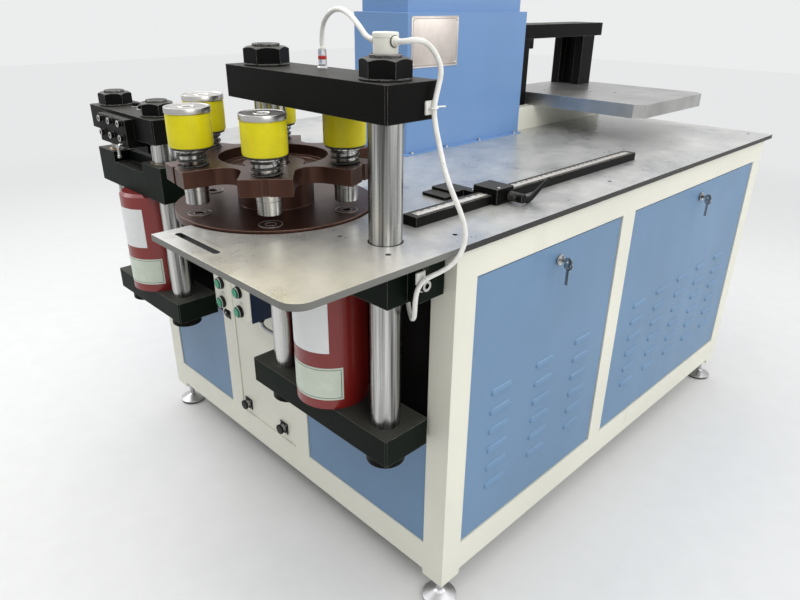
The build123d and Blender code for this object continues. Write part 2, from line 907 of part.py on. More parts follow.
# Cutter: the same yoke with shorter columns and a blade under its beam
cutter_points = [(press_x, cutter_near_y), (press_x, cutter_far_y)]
cutter_from = cutter_near_y - cutter_end
cutter_to = cutter_far_y + cutter_end
cutter_plate_top = cutter_plate_bottom + cutter_plate_height
cutter_beam_top = cutter_beam_bottom + cutter_beam_height
cutter_gland_top = cutter_block_bottom - end_gap
blade_face = left - blade_from_table
with BuildPart() as cutter_block:
    yoke_block(cutter_from, cutter_to, cutter_block_bottom, table_height, cutter_points)
    slab(
        left - block_front, blade_face + blade_thickness, cutter_y - blade_notch_width / 2,
        cutter_y + blade_notch_width / 2, table_height - blade_notch_depth, table_height, Mode.SUBTRACT,
    )
    slab(
        blade_face, blade_face + blade_thickness, cutter_y - blade_plate_width / 2,
        cutter_y + blade_plate_width / 2, table_height - blade_notch_depth, table_height - end_gap,
    )
save(cutter_block, "cutter_block")

with BuildPart() as cutter_beam:
    yoke_plate(cutter_from, cutter_to, cutter_beam_bottom, cutter_beam_top, cutter_points)
save(cutter_beam, "cutter_beam")

with BuildPart() as cutter_lower_plate:
    yoke_plate(cutter_from, cutter_to, cutter_plate_bottom, cutter_plate_top, cutter_points)
save(cutter_lower_plate, "cutter_lower_plate")

with BuildPart() as cutter_columns:
    yoke_columns(cutter_points, cutter_plate_bottom, cutter_beam_top)
save(cutter_columns, "cutter_columns")

with BuildPart() as cutter_nuts:
    column_nuts(cutter_points, cutter_plate_bottom, cutter_beam_top)
save(cutter_nuts, "cutter_nuts")

with BuildPart() as cutter_cylinder:
    pull_cylinder(press_x, cutter_y, cutter_plate_top, cutter_gland_top)
save(cutter_cylinder, "cutter_cylinder")

# Blade holder: plate on the beam's outer face with cap screws, and the blade under the beam
beam_face = left - yoke_front
blade_plate_top = cutter_beam_top - blade_plate_drop
blade_near = cutter_y - blade_plate_width / 2
holder_bottom = cutter_beam_bottom - blade_thickness
with BuildPart() as blade_holder:
    with BuildSketch(Plane.XZ.offset(-blade_near)) as profile:
        with BuildLine():
            Polyline(
                (beam_face, blade_plate_top),
                (beam_face - blade_plate_thickness + edge_break, blade_plate_top),
                (beam_face - blade_plate_thickness, blade_plate_top - edge_break),
                (beam_face - blade_plate_thickness, holder_bottom),
                (blade_face - end_gap - blade_thickness, holder_bottom),
                (blade_face - end_gap - blade_thickness, table_height + blade_gap + blade_bevel),
                (blade_face - end_gap, table_height + blade_gap),
                (blade_face - end_gap, cutter_beam_bottom),
                (beam_face, cutter_beam_bottom),
                close=True,
            )
        make_face()
    extrude(profile.sketch, amount=-blade_plate_width)
    with BuildSketch(Plane.YZ.offset(beam_face - blade_plate_thickness)) as screws:
        with Locations((cutter_y, cutter_beam_bottom + screw_row_height)):
            with GridLocations(screw_pitch_y, screw_pitch_z, 3, 2):
                Circle(cap_screw_radius)
                RegularPolygon(cap_screw_radius / 2, 6, mode=Mode.SUBTRACT)
    extrude(screws.sketch, amount=-cap_screw_head)
save(blade_holder, "blade_holder")

with BuildPart() as column_bushings:
    for points, z_from, z_to in (
        (press_points, press_block_bottom, table_bottom),
        (cutter_points, cutter_block_bottom, table_height),
    ):
        with BuildSketch(Plane.XY.offset(z_from)) as rings:
            with Locations(*points):
                Circle(column_bore + bushing_wall)
                Circle(column_bore, mode=Mode.SUBTRACT)
        extrude(rings.sketch, amount=z_to - z_from)
save(column_bushings, "column_bushings")

with BuildPart() as piston_rods:
    for y, z_top, gland_top, stroke in (
        (press_y, press_block_bottom, press_gland_top, press_stroke),
        (cutter_y, cutter_block_bottom, cutter_gland_top, cutter_stroke),
    ):
        piston_top = gland_top - gland_height - stroke - piston_play
        drum(press_x, y, rod_radius, piston_top, z_top)
        drum(press_x, y, cylinder_bore, piston_top - piston_height, piston_top)
save(piston_rods, "piston_rods")

# Turret: a disc, the hub with its spigot in the disc, the lobed plate on it, and six die rings
plate_floor = turret_top - plate_recess_depth
with BuildPart() as die_disc:
    drum(press_x, turret_y, disc_radius, disc_bottom, disc_top)
    drum(press_x, turret_y, spindle_flange_radius + end_gap, disc_bottom, disc_top, Mode.SUBTRACT)
    rods(stations, die_ring_radius, disc_top - die_ring_height, disc_top, Mode.SUBTRACT)
    rods(stations, die_ring_radius - die_ledge, disc_bottom, disc_top, Mode.SUBTRACT)
hub_bottom = disc_bottom + spindle_flange_height
hub_bore = spindle_radius + running_clearance
with BuildPart() as turret_hub:
    drum(press_x, turret_y, spindle_flange_radius, hub_bottom, disc_top)
    drum(press_x, turret_y, hub_radius, disc_top, turret_bottom)
    drum(press_x, turret_y, hub_bore, hub_bottom, turret_bottom, Mode.SUBTRACT)
save_group("turret_disc", die_disc, turret_hub)

with BuildPart() as die_rings:
    with BuildSketch(Plane.XY.offset(disc_top - die_ring_height)) as rings:
        with Locations(*stations):
            Circle(die_ring_radius)
            Circle(die_bore_radius, mode=Mode.SUBTRACT)
    extrude(rings.sketch, amount=die_ring_height + die_stand_out)
save(die_rings, "die_rings")

spindle_top = plate_floor - plate_step_depth + end_gap
with BuildPart() as turret_spindle:
    with BuildSketch(Plane.XZ.offset(-turret_y)) as profile:
        with BuildLine():
            Polyline(
                (press_x + column_radius + spindle_play, recess_floor),
                (press_x + spindle_flange_radius, recess_floor),
                (press_x + spindle_flange_radius, disc_bottom + spindle_flange_height - end_gap),
                (press_x + spindle_radius, disc_bottom + spindle_flange_height - end_gap),
                (press_x + spindle_radius, spindle_top),
                (press_x + column_radius + spindle_play, spindle_top),
                close=True,
            )
        make_face()
    revolve(profile.sketch, axis=Axis((press_x, turret_y, 0), (0, 0, 1)))
with BuildPart() as spindle_cap:
    drum(press_x, turret_y, cap_ring_radius, spindle_top, spindle_top + cap_ring_height)
    drum(
        press_x, turret_y, column_radius + spindle_play, spindle_top,
        spindle_top + cap_ring_height, Mode.SUBTRACT,
    )
save_group("turret_spindle", turret_spindle, spindle_cap)

index_direction = (cos(radians(photo_index)), sin(radians(photo_index)), 0)
half_step = radians(180 / station_count)
root_centre = (lobe_width / 2 + lobe_root_radius) / sin(half_step)
root_dip = lobe_root_radius * sin(half_step)
root_side = lobe_root_radius * cos(half_step)
lobe_plane = Plane(origin=(press_x, turret_y, turret_bottom), x_dir=index_direction, z_dir=(0, 0, 1))
with BuildPart() as turret_plate:
    with BuildSketch(lobe_plane):
        RegularPolygon(lobe_reach, station_count, major_radius=False, rotation=180 / station_count)
        with PolarLocations(root_centre, station_count, start_angle=180 / station_count):
            Circle(lobe_root_radius, mode=Mode.SUBTRACT)
            Polygon(
                (-root_dip, root_side), (-root_dip, -root_side),
                (lobe_reach, -root_side - (lobe_reach + root_dip) * tan(half_step)),
                (lobe_reach, root_side + (lobe_reach + root_dip) * tan(half_step)),
                align=None, mode=Mode.SUBTRACT,
            )
        with PolarLocations(lobe_reach, station_count):
            Rectangle(2 * notch_depth, notch_width, mode=Mode.SUBTRACT)
        Circle(spindle_radius + spindle_play, mode=Mode.SUBTRACT)
        with PolarLocations(station_radius, station_count):
            Circle(punch_body_radius + running_clearance, mode=Mode.SUBTRACT)
    extrude(amount=turret_plate_height)
    drum(press_x, turret_y, turret_hole_radius, plate_floor, turret_top, Mode.SUBTRACT)
    drum(press_x, turret_y, plate_step_radius, plate_floor - plate_step_depth, turret_top, Mode.SUBTRACT)
    rods(stations, spring_pocket_radius, turret_top - spring_pocket_depth, turret_top, Mode.SUBTRACT)
save(turret_plate, "turret_plate")


def punch_steel(x, y):
    """Adds a turned punch holder: tip with a blind bore, body, flange and cap."""
    drum(x, y, punch_tip_radius, punch_tip_bottom, punch_tip_bottom + punch_tip_length)
    drum(x, y, punch_body_radius, punch_tip_bottom + punch_tip_length, punch_cap_top)
    drum(x, y, punch_flange_radius, urethane_bottom - punch_flange_height, urethane_bottom)
    drum(x, y, punch_cap_radius, punch_cap_top - punch_cap_height, punch_cap_top)
    drum(x, y, punch_cap_hole, punch_cap_top - punch_cap_dish, punch_cap_top, Mode.SUBTRACT)
    drum(x, y, punch_bore_radius, punch_tip_bottom, punch_tip_bottom + punch_bore_depth, Mode.SUBTRACT)


def punch_sleeve(x, y):
    """Adds the urethane sleeve between a punch's flange and cap."""
    with BuildSketch(Plane.XY.offset(urethane_bottom)) as ring:
        with Locations((x, y)):
            Circle(urethane_radius)
            Circle(punch_body_radius, mode=Mode.SUBTRACT)
    extrude(ring.sketch, amount=punch_cap_top - punch_cap_height - urethane_bottom)


for number, (x, y) in enumerate(stations, start=1):
    with BuildPart() as steel:
        punch_steel(x, y)
    with BuildPart() as sleeve:
        punch_sleeve(x, y)
    save_group(f"punch_{number}", steel, sleeve)

# Bending station: riser, steel plate, portal with the ram's post, cylinder inside the control housing
riser_top = table_height + riser_height
plate_top = riser_top + bend_plate_height
frame_back = front + bend_frame_front + bend_frame_depth
post_right = riser_left + bend_left_post
bar_bottom = bend_frame_top - bend_bar_height
with BuildPart() as bending_riser:
    slab(
        riser_left, riser_left + riser_length, front + riser_front, front + riser_front + riser_depth,
        table_height, riser_top,
    )
    slab(
        riser_left + riser_wall, riser_left + riser_length - riser_wall, front + riser_front + riser_wall,
        front + riser_front + riser_depth - riser_wall, table_height, riser_top - riser_wall, Mode.SUBTRACT,
    )
save(bending_riser, "bending_riser")

with BuildPart() as bending_plate:
    with BuildSketch(Plane.XY.offset(riser_top)) as outline:
        with Locations((
            left + bend_plate_left + bend_plate_length / 2, front + bend_plate_front + bend_plate_depth / 2
        )):
            Rectangle(bend_plate_length, bend_plate_depth)
        chamfer(outline.vertices(), bend_plate_corner)
        for hole_x, hole_y in bend_plate_holes:
            with Locations((left + bend_plate_left + hole_x, front + bend_plate_front + hole_y)):
                Circle(bend_hole_radius, mode=Mode.SUBTRACT)
    extrude(outline.sketch, amount=bend_plate_height)
save(bending_plate, "bending_plate")

frame_near = frame_back - bend_frame_depth
far_post_left = riser_left + bend_right_post_from
with BuildPart() as post_gusset:
    with BuildSketch(Plane.XZ.offset(-frame_back)) as side:
        with BuildLine():
            Polyline(
                (post_right, bar_bottom - bend_step),
                (post_right + bend_step, bar_bottom),
                (post_right, bar_bottom),
                close=True,
            )
        make_face()
    extrude(side.sketch, amount=bend_frame_depth)
with BuildPart() as ram_post:
    slab(riser_left, post_right, frame_near, frame_back, riser_top, bar_bottom)
    bar(
        Plane.YZ.offset(riser_left), [(ram_y, ram_height)],
        ram_radius + running_clearance, bend_left_post, Mode.SUBTRACT,
    )
with BuildPart() as top_bar:
    slab(riser_left, riser_left + bend_frame_length, frame_near, frame_back, bar_bottom, bend_frame_top)
with BuildPart() as far_post:
    slab(far_post_left, far_post_left + bend_right_post, frame_near, frame_back, plate_top, bar_bottom)
    slab(
        far_post_left, far_post_left + bend_groove_depth, ram_y - bend_groove_width / 2,
        ram_y + bend_groove_width / 2, plate_top, bar_bottom, Mode.SUBTRACT,
    )
save_group("bending_frame", ram_post, post_gusset, top_bar, far_post)

bend_bore_left = bend_cylinder_left + bend_cylinder_wall
with BuildPart() as bending_cylinder:
    ram_line = [(ram_y, ram_height)]
    bar(Plane.YZ.offset(bend_cylinder_left), ram_line, bend_cylinder_radius, bend_cylinder_length)
    bar(
        Plane.YZ.offset(bend_bore_left), ram_line, bend_piston_radius + running_clearance,
        bend_cylinder_length - bend_cylinder_wall - gland_height, Mode.SUBTRACT,
    )
    bar(
        Plane.YZ.offset(riser_left - gland_height), ram_line, ram_radius + running_clearance,
        gland_height, Mode.SUBTRACT,
    )
save(bending_cylinder, "bending_cylinder")

with BuildPart() as bending_ram:
    bar(Plane.YZ.offset(bend_bore_left + piston_play), ram_line, bend_piston_radius, bend_piston_length)
    bar(
        Plane.YZ.offset(bend_bore_left + piston_play), ram_line, ram_radius,
        post_right - bend_bore_left - piston_play,
    )
save(bending_ram, "bending_ram")

# Control housing: sheet box with a foot flange, open below, and a low console on its lid
housing_left = left + housing_from_left
housing_right = housing_left + housing_length
housing_y = front + housing_front
housing_back = housing_y + housing_depth
housing_top = table_height + housing_height
with BuildPart() as control_housing:
    slab(housing_left, housing_right, housing_y, housing_back, table_height, housing_top)
    slab(
        housing_left - housing_flange, housing_right, housing_y - housing_flange,
        housing_back + housing_flange, table_height, table_height + housing_wall,
    )
    slab(
        housing_left + console_inset, housing_right - console_inset, housing_y + console_inset,
        housing_back - console_inset, housing_top, housing_top + console_height,
    )
    slab(
        housing_left + housing_wall, housing_right - housing_wall, housing_y + housing_wall,
        housing_back - housing_wall, table_height, housing_top - housing_wall, Mode.SUBTRACT,
    )
    bar(
        Plane.YZ.offset(housing_right - housing_wall), ram_line, bend_cylinder_radius + end_gap,
        housing_wall, Mode.SUBTRACT,
    )
save(control_housing, "control_housing")

# Length gauge: bar with a sunk scale, slider with a stop arm, and the lever that clamps it
gauge_y = front + gauge_near
gauge_top = table_height + gauge_height
gauge_from = left + gauge_left
gauge_to = gauge_from + gauge_length
with BuildPart() as gauge_bar:
    slab(gauge_from, gauge_to, gauge_y, gauge_y + gauge_width, table_height, gauge_top)
    slab(
        gauge_from + gauge_margin, gauge_to - gauge_margin,
        gauge_y + (gauge_width - gauge_scale_width) / 2, gauge_y + (gauge_width + gauge_scale_width) / 2,
        gauge_top - gauge_scale_depth, gauge_top, Mode.SUBTRACT,
    )
save(gauge_bar, "gauge_bar")

slider_left = left + slider_at - slider_length / 2
slider_right = slider_left + slider_length
slider_near = gauge_y - slider_wall
slider_far = gauge_y + gauge_width + slider_wall
slider_bottom = table_height + slider_foot
lever_x = slider_right - slider_wall
lever_z = gauge_top - lever_pin_radius
with BuildPart() as gauge_slider:
    slab(slider_left, slider_right, slider_near, slider_far, slider_bottom, gauge_top + slider_cover)
    slab(
        slider_left, slider_right, gauge_y - running_clearance, gauge_y + gauge_width + running_clearance,
        slider_bottom, gauge_top + running_clearance, Mode.SUBTRACT,
    )
    arm_left = slider_left + arm_from_slider_left
    stop_far = slider_far + arm_reach
    slab(arm_left, arm_left + arm_width, slider_far, stop_far, slider_bottom, slider_bottom + arm_height)
    slab(
        arm_left - stop_upper_reach, arm_left + arm_width, stop_far - stop_depth, stop_far,
        slider_bottom + arm_height / 2, slider_bottom + arm_height,
    )
    slab(
        arm_left - stop_lower_reach, arm_left + arm_width, stop_far - stop_depth, stop_far,
        slider_bottom, slider_bottom + arm_height / 2,
    )
    bar(
        Plane.XZ.offset(-slider_near), [(lever_x, lever_z)],
        lever_pin_radius + running_clearance, -slider_wall, Mode.SUBTRACT,
    )
save(gauge_slider, "gauge_slider")

lever_y = slider_near - lever_stand_off
with BuildPart() as clamp_lever:
    pin_reach = lever_stand_off + slider_wall - end_gap
    bar(Plane.XZ.offset(-lever_y), [(lever_x, lever_z)], lever_pin_radius, -pin_reach)
    bar(Plane.XZ.offset(-lever_y), [(lever_x, lever_z)], lever_boss_radius, -lever_stand_off + end_gap)
    handle_y = lever_y + lever_radius
    tube(
        [
            (lever_x, handle_y, lever_z),
            (lever_x + lever_dip_x, handle_y, lever_z - lever_dip_z),
            (lever_x + lever_tip_x, handle_y, lever_z + lever_tip_z),
        ],
        lever_bend, lever_radius,
    )
save(clamp_lever, "clamp_lever")

# Push button box on the access cover
box_left = cover_x - button_box_depth
box_near = (cover_near + cover_far - button_box_width) / 2 + button_box_shift
box_back = left
box_top = button_box_bottom + button_box_height
box_spacers = [
    ((cover_near + cover_far) / 2 + side * box_spacer_inset, z)
    for side in (-1, 1)
    for z in (button_box_bottom + box_spacer_inset, box_top - box_spacer_inset)
]
button_points = [
    (
        box_near + button_box_width / 2 + button_shift + side * button_pitch_y / 2,
        button_box_bottom + button_low + row * button_pitch_z,
    )
    for row in (1, 0)
    for side in (1, -1)
]
with BuildPart() as button_box:
    slab(box_left, box_back, box_near, box_near + button_box_width, button_box_bottom, box_top)
    slab(
        box_left + box_wall, box_back - box_wall, box_near + box_wall,
        box_near + button_box_width - box_wall, button_box_bottom + box_wall, box_top - box_wall,
        Mode.SUBTRACT,
    )
    bar(Plane.YZ.offset(box_back), box_spacers, box_spacer_radius, cover_x - box_back)
    bar(Plane.YZ.offset(box_left - bezel_height), button_points, bezel_radius, bezel_height)
    bar(
        Plane.YZ.offset(box_left - bezel_height), button_points, button_radius + running_clearance,
        bezel_height + box_wall, Mode.SUBTRACT,
    )
save(button_box, "button_box")

for number, point in enumerate(button_points, start=1):
    with BuildPart() as button:
        bar(
            Plane.YZ.offset(box_left - bezel_height - button_stand_out), [point], button_radius,
            button_stand_out + bezel_height + box_wall + end_gap,
        )
        bar(
            Plane.YZ.offset(box_left + box_wall + end_gap), [point], button_radius + button_collar_rim,
            button_collar,
        )
    save(button, f"button_{number}")

# Hydraulic unit on the cabinet floor: tank, motor with pump, valve block and hoses
floor_top = bottom_rail_top + end_gap + floor_sheet
tank_x = left + tank_left
tank_y = front + tank_near
tank_top = floor_top + tank_height
with BuildPart() as oil_tank:
    slab(tank_x, tank_x + tank_length, tank_y, tank_y + tank_depth, floor_top, tank_top - tank_lid)
    slab(
        tank_x - tank_lid, tank_x + tank_length + tank_lid, tank_y - tank_lid,
        tank_y + tank_depth + tank_lid, tank_top - tank_lid, tank_top,
    )
    drum(tank_x + filler_inset, tank_y + filler_inset, filler_radius, tank_top, tank_top + filler_height)
    slab(
        tank_x + tank_length / 2 - level_width / 2, tank_x + tank_length / 2 + level_width / 2,
        tank_y - level_depth, tank_y, floor_top + level_rise, floor_top + level_rise + level_height,
    )
save(oil_tank, "oil_tank")

motor_left = tank_x + tank_length - motor_length - motor_inset
motor_y = tank_y + motor_radius + motor_inset
motor_z = tank_top + motor_foot + motor_radius
with BuildPart() as pump_motor:
    motor_line = [(motor_y, motor_z)]
    bar(Plane.YZ.offset(motor_left), motor_line, motor_radius, motor_length)
    with BuildSketch(Plane.YZ.offset(motor_left + motor_inset)) as fins:
        with Locations((motor_y, motor_z)):
            with PolarLocations(motor_radius, motor_fins):
                Rectangle(2 * fin_height, fin_thickness)
    extrude(fins.sketch, amount=motor_length - 2 * motor_inset)
    slab(
        motor_left + motor_inset, motor_left + motor_length - motor_inset,
        motor_y - motor_radius + motor_inset, motor_y + motor_radius - motor_inset, tank_top,
        motor_z - motor_radius / 2,
    )
    bar(Plane.YZ.offset(motor_left - bell_length), motor_line, bell_radius, bell_length)
    slab(
        motor_left - bell_length - pump_size, motor_left - bell_length, motor_y - pump_size / 2,
        motor_y + pump_size / 2, motor_z - pump_size / 2, motor_z + pump_size / 2,
    )
save(pump_motor, "pump_motor")

valve_left = tank_x + valve_inset
valve_y = tank_y + tank_depth - valve_inset - valve_depth
valve_top = tank_top + valve_height
valve_places = [valve_left + valve_length * (k + 0.5) / valve_count for k in range(valve_count)]
with BuildPart() as valve_block:
    slab(valve_left, valve_left + valve_length, valve_y, valve_y + valve_depth, tank_top, valve_top)
    for x in valve_places:
        slab(
            x - coil_size / 2, x + coil_size / 2, valve_y - coil_reach, valve_y + valve_depth + coil_reach,
            valve_top, valve_top + coil_size,
        )
save(valve_block, "valve_block")

hose_z = top_rail_bottom - hose_radius - hose_rail_gap
hose_y = [valve_y + hose_radius + hose_spacing * k for k in range(3)]
port_z = [tank_top + hose_port + hose_spacing * k for k in range(3)]
turn_x = valve_left - hose_run
hose_routes = [
    [
        (valve_left, hose_y[k], port_z[k]), (turn_x, hose_y[k], port_z[k]),
        (turn_x, hose_y[k], hose_z), (turn_x, target_y, hose_z), (left, target_y, hose_z),
    ]
    for k, target_y in ((0, press_y), (1, cutter_y))
]
hose_routes.append([
    (valve_left, hose_y[2], port_z[2]), (bend_port_x, hose_y[2], port_z[2]),
    (bend_port_x, ram_y, port_z[2]), (bend_port_x, ram_y, ram_height - bend_cylinder_radius),
])


with BuildPart() as hydraulic_hoses:
    for route in hose_routes:
        tube(route, hose_bend, hose_radius)
save(hydraulic_hoses, "hydraulic_hoses")

# Electrical plate standing in the short compartment
plate_x = left + control_plate_inset
plate_y = back - tube_width - control_plate_inset
with BuildPart() as control_plate:
    slab(
        plate_x, plate_x + control_plate_width, plate_y, plate_y + floor_sheet,
        floor_top, floor_top + control_plate_height,
    )
    for foot_x in (plate_x, plate_x + control_plate_width - tube_width):
        slab(foot_x, foot_x + tube_width, plate_y - tube_width, plate_y, floor_top, floor_top + floor_sheet)
    for row_height, widths, device_depth, device_height in device_rows:
        device_x = plate_x + device_margin
        for width in widths:
            slab(
                device_x, device_x + width, plate_y - device_depth, plate_y,
                floor_top + row_height, floor_top + row_height + device_height,
            )
            device_x += width + device_spacing
save(control_plate, "control_plate")

# Sensor on the beam, its junction box on the near column, and the cable between beam and block
stub_top = beam_top + nut_height + stub_height
sensor_x = left - sensor_from_left
sensor_y = front + sensor_from_front
junction_top = stub_top + junction_height
with BuildPart() as beam_sensor:
    drum(sensor_x, sensor_y, sensor_radius, beam_top, beam_top + sensor_height)
    drum(sensor_x, sensor_y, sensor_radius + sensor_rim, beam_top, beam_top + sensor_rim_height)
    slab(
        press_x - junction_size / 2, press_x + junction_size / 2, press_near_y - junction_size / 2,
        press_near_y + junction_size / 2, stub_top, junction_top,
    )
save(beam_sensor, "beam_sensor")


def cable_radii(points):
    """Gives each corner of a cable the largest arc that its two runs allow."""
    corners = [Vector(*point) for point in points]
    radii = []
    for before, here, after in zip(corners, corners[1:], corners[2:]):
        turn = radians((here - before).get_angle(after - here))
        shorter = min((here - before).length, (after - here).length)
        radii.append(cable_arc_share * shorter * cos(turn / 2) / sin(turn / 2))
    return radii


cable_z = stub_top + junction_height / 2 + cable_above_middle
arch = [
    (-sensor_from_left, sensor_from_front, beam_top + sensor_height), (-46, 302, 1238),
    (-54, 276, 1262), (-64, 236, 1274), (-73, 196, 1268), (-78, 164, 1249), (-79, 142, cable_z),
    (-column_inset, press_near_column + junction_size / 2, cable_z),
]
drop = [
    (-column_inset, press_near_column - junction_size / 2, cable_z), (-79, 63, cable_z),
    (-66, 48, 1233), (-46, 43, 1228), (-27, 40, 1210), (-17, 37, 1186), (-24, 38, 1160),
    (-33, 38, 1130), (-33, 32, 1100), (-33, 21, 1068), (-37, 6, 1036), (-34, -9, 1003),
    (-23, -20, 970), (-13, -25, 938), (-13, -25, 912), (-22, -22, 890), (-34, -13, 873),
    (-46, -2, 863), (-59, 7, 856), (-73, 13, 850), (-83, 17, 836), (-86, 19, 815), (-81, 24, 793),
    (-72, 34, 771), (-60, 50, 757), (-47, 68, 757), (-39, 81, 768), (-38, 84, 782),
    (-38, 84, press_block_bottom),
]
with BuildPart() as sensor_cable:
    for run in (arch, drop):
        route = [(left + x, front + y, z) for x, y, z in run]
        arcs = cable_radii(route)
        print("cable arcs", [round(radius) for radius in arcs])
        tube(route, arcs, cable_radius)
save(sensor_cable, "sensor_cable")
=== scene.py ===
"""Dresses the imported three-station busbar machine: finishes, punches, springs, cable, plates, stage."""

import json
import math

import bmesh
import bpy
from mathutils import Matrix, Vector


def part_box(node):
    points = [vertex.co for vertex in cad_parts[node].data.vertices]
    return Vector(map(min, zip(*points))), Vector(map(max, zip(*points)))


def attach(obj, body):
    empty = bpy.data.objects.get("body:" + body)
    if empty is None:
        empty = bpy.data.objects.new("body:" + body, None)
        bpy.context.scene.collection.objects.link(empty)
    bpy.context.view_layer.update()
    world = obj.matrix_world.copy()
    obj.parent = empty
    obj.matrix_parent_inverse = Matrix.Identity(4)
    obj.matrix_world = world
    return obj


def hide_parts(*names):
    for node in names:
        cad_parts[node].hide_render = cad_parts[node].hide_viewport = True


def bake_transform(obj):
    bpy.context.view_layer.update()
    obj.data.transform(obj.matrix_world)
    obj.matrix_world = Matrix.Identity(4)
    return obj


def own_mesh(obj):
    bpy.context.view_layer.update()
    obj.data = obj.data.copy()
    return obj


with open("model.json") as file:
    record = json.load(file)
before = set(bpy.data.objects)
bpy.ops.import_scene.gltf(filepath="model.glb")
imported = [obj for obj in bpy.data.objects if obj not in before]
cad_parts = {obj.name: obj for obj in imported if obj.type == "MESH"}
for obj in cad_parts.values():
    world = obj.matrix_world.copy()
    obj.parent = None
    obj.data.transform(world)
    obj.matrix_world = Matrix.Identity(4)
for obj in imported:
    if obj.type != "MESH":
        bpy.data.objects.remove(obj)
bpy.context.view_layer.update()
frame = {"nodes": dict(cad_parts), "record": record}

bl_info = {
    "name": "Busbar Machine Dressing",
    "version": (1, 0, 0),
    "blender": (4, 5, 0),
    "location": "3D View > Sidebar > Busbar",
    "description": "Finishes and small pieces of a turret punching, cutting and bending machine",
    "category": "Object",
}

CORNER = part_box("cabinet_frame")[0]
TABLE_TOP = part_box("worktable")[1].z * 1000
TURRET = (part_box("turret_disc")[0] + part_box("turret_disc")[1]) / 2
SHOWN_RAYS = ("Is Camera Ray", "Is Glossy Ray", "Is Transmission Ray")
LEFT = (-1, 0, 0)
FRONT = (0, -1, 0)
UP = (0, 0, 1)
LOUVRE_ROWS = 6

# Millimetres
COLUMN_BORE = 26.2
CYLINDER_FACE = 77.4
SPRING_BOTTOM, SPRING_TOP, SPRING_RADIUS = 984.2, 1027.0, 26.6
CABLE_RADIUS = 4.4
BUTTON_FACE = -68.3

# Metres
COLUMN_INSET = 0.03
FIRST_LOUVRE, LOUVRE_STEP = 0.278, 0.05
FLOOR_REACH, FLOOR_FADE = 14.0, (1.6, 5.0)
CAMERA_PLACE = (-1.41946, -1.29644, 1.28792)

# Degrees, and the lens in millimetres
CAMERA_ANGLES = (-44.856, 24.764, 0.603)
CAMERA_LENS = 29.347


def at(x, y, z):
    """A point in metres, from millimetres right of, behind and above the cabinet's front left corner."""
    return Vector((CORNER.x + x / 1000, CORNER.y + y / 1000, z / 1000))


def polar(radius, angle, height):
    """A step in metres, from millimetres out from an upright axis and up along it."""
    return Vector((radius * math.cos(angle), radius * math.sin(angle), height)) / 1000


def middle(node):
    """The centre of a CAD node's box."""
    low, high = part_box(node)
    return (low + high) / 2


class MachineColours(bpy.types.PropertyGroup):
    """The colours of the painted, cast and moulded pieces."""

    cream: bpy.props.FloatVectorProperty(
        name="Frame", description="Paint of the cabinet frame", subtype="COLOR", default=(0.78, 0.77, 0.665)
    )
    door_blue: bpy.props.FloatVectorProperty(
        name="Doors", description="Paint of the doors and side panels", subtype="COLOR",
        default=(0.132, 0.243, 0.395),
    )
    housing_blue: bpy.props.FloatVectorProperty(
        name="Housing", description="Paint of the control housing", subtype="COLOR",
        default=(0.142, 0.275, 0.52),
    )
    cylinder_red: bpy.props.FloatVectorProperty(
        name="Cylinders", description="Enamel of the hydraulic cylinders", subtype="COLOR",
        default=(0.23, 0.013, 0.010),
    )
    turret_brown: bpy.props.FloatVectorProperty(
        name="Turret", description="Oiled colour of the turret", subtype="COLOR",
        default=(0.062, 0.026, 0.017),
    )
    urethane: bpy.props.FloatVectorProperty(
        name="Sleeves", description="Cast urethane sleeves of the punches", subtype="COLOR",
        default=(0.74, 0.65, 0.008),
    )
    button_green: bpy.props.FloatVectorProperty(
        name="Buttons", description="Push buttons", subtype="COLOR", default=(0.0, 0.27, 0.13)
    )


class MachineSizes(bpy.types.PropertyGroup):
    """The sizes of the small pieces that the dressing adds."""

    spring_wire: bpy.props.FloatProperty(
        name="Spring wire", description="Thickness of the punch springs' wire", default=0.0036,
        unit="LENGTH",
    )
    spring_turns: bpy.props.FloatProperty(
        name="Spring turns", description="Turns of each punch spring", default=3.5
    )
    plate_thickness: bpy.props.FloatProperty(
        name="Plate thickness", description="Thickness of the blank plates", default=0.0008, unit="LENGTH"
    )


def colours():
    """The colour settings of the scene."""
    return bpy.context.scene.machine_colours


def sizes():
    """The size settings of the scene."""
    return bpy.context.scene.machine_sizes


class Level:
    """A shader socket that Python arithmetic turns into Math nodes."""

    def __init__(self, finish, socket):
        self.finish = finish
        self.socket = socket

    def math(self, operation, *values, clamp=False):
        """Adds a Math node on this value and others."""
        settings = {"operation": operation, "use_clamp": clamp}
        return self.finish.node("Math", settings, dict(enumerate((self, *values))))

    def __add__(self, other):
        return self.math("ADD", other)

    __radd__ = __add__

    def __mul__(self, other):
        return self.math("MULTIPLY", other)

    __rmul__ = __mul__

    def __sub__(self, other):
        return self.math("SUBTRACT", other)

    def __rsub__(self, other):
        return self.math("MULTIPLY", -1.0).math("ADD", other)

    def __gt__(self, other):
        return self.math("GREATER_THAN", other)

    def __lt__(self, other):
        return self.math("LESS_THAN", other)

    def clamped(self):
        """The value kept between 0 and 1."""
        return self.math("ADD", 0.0, clamp=True)


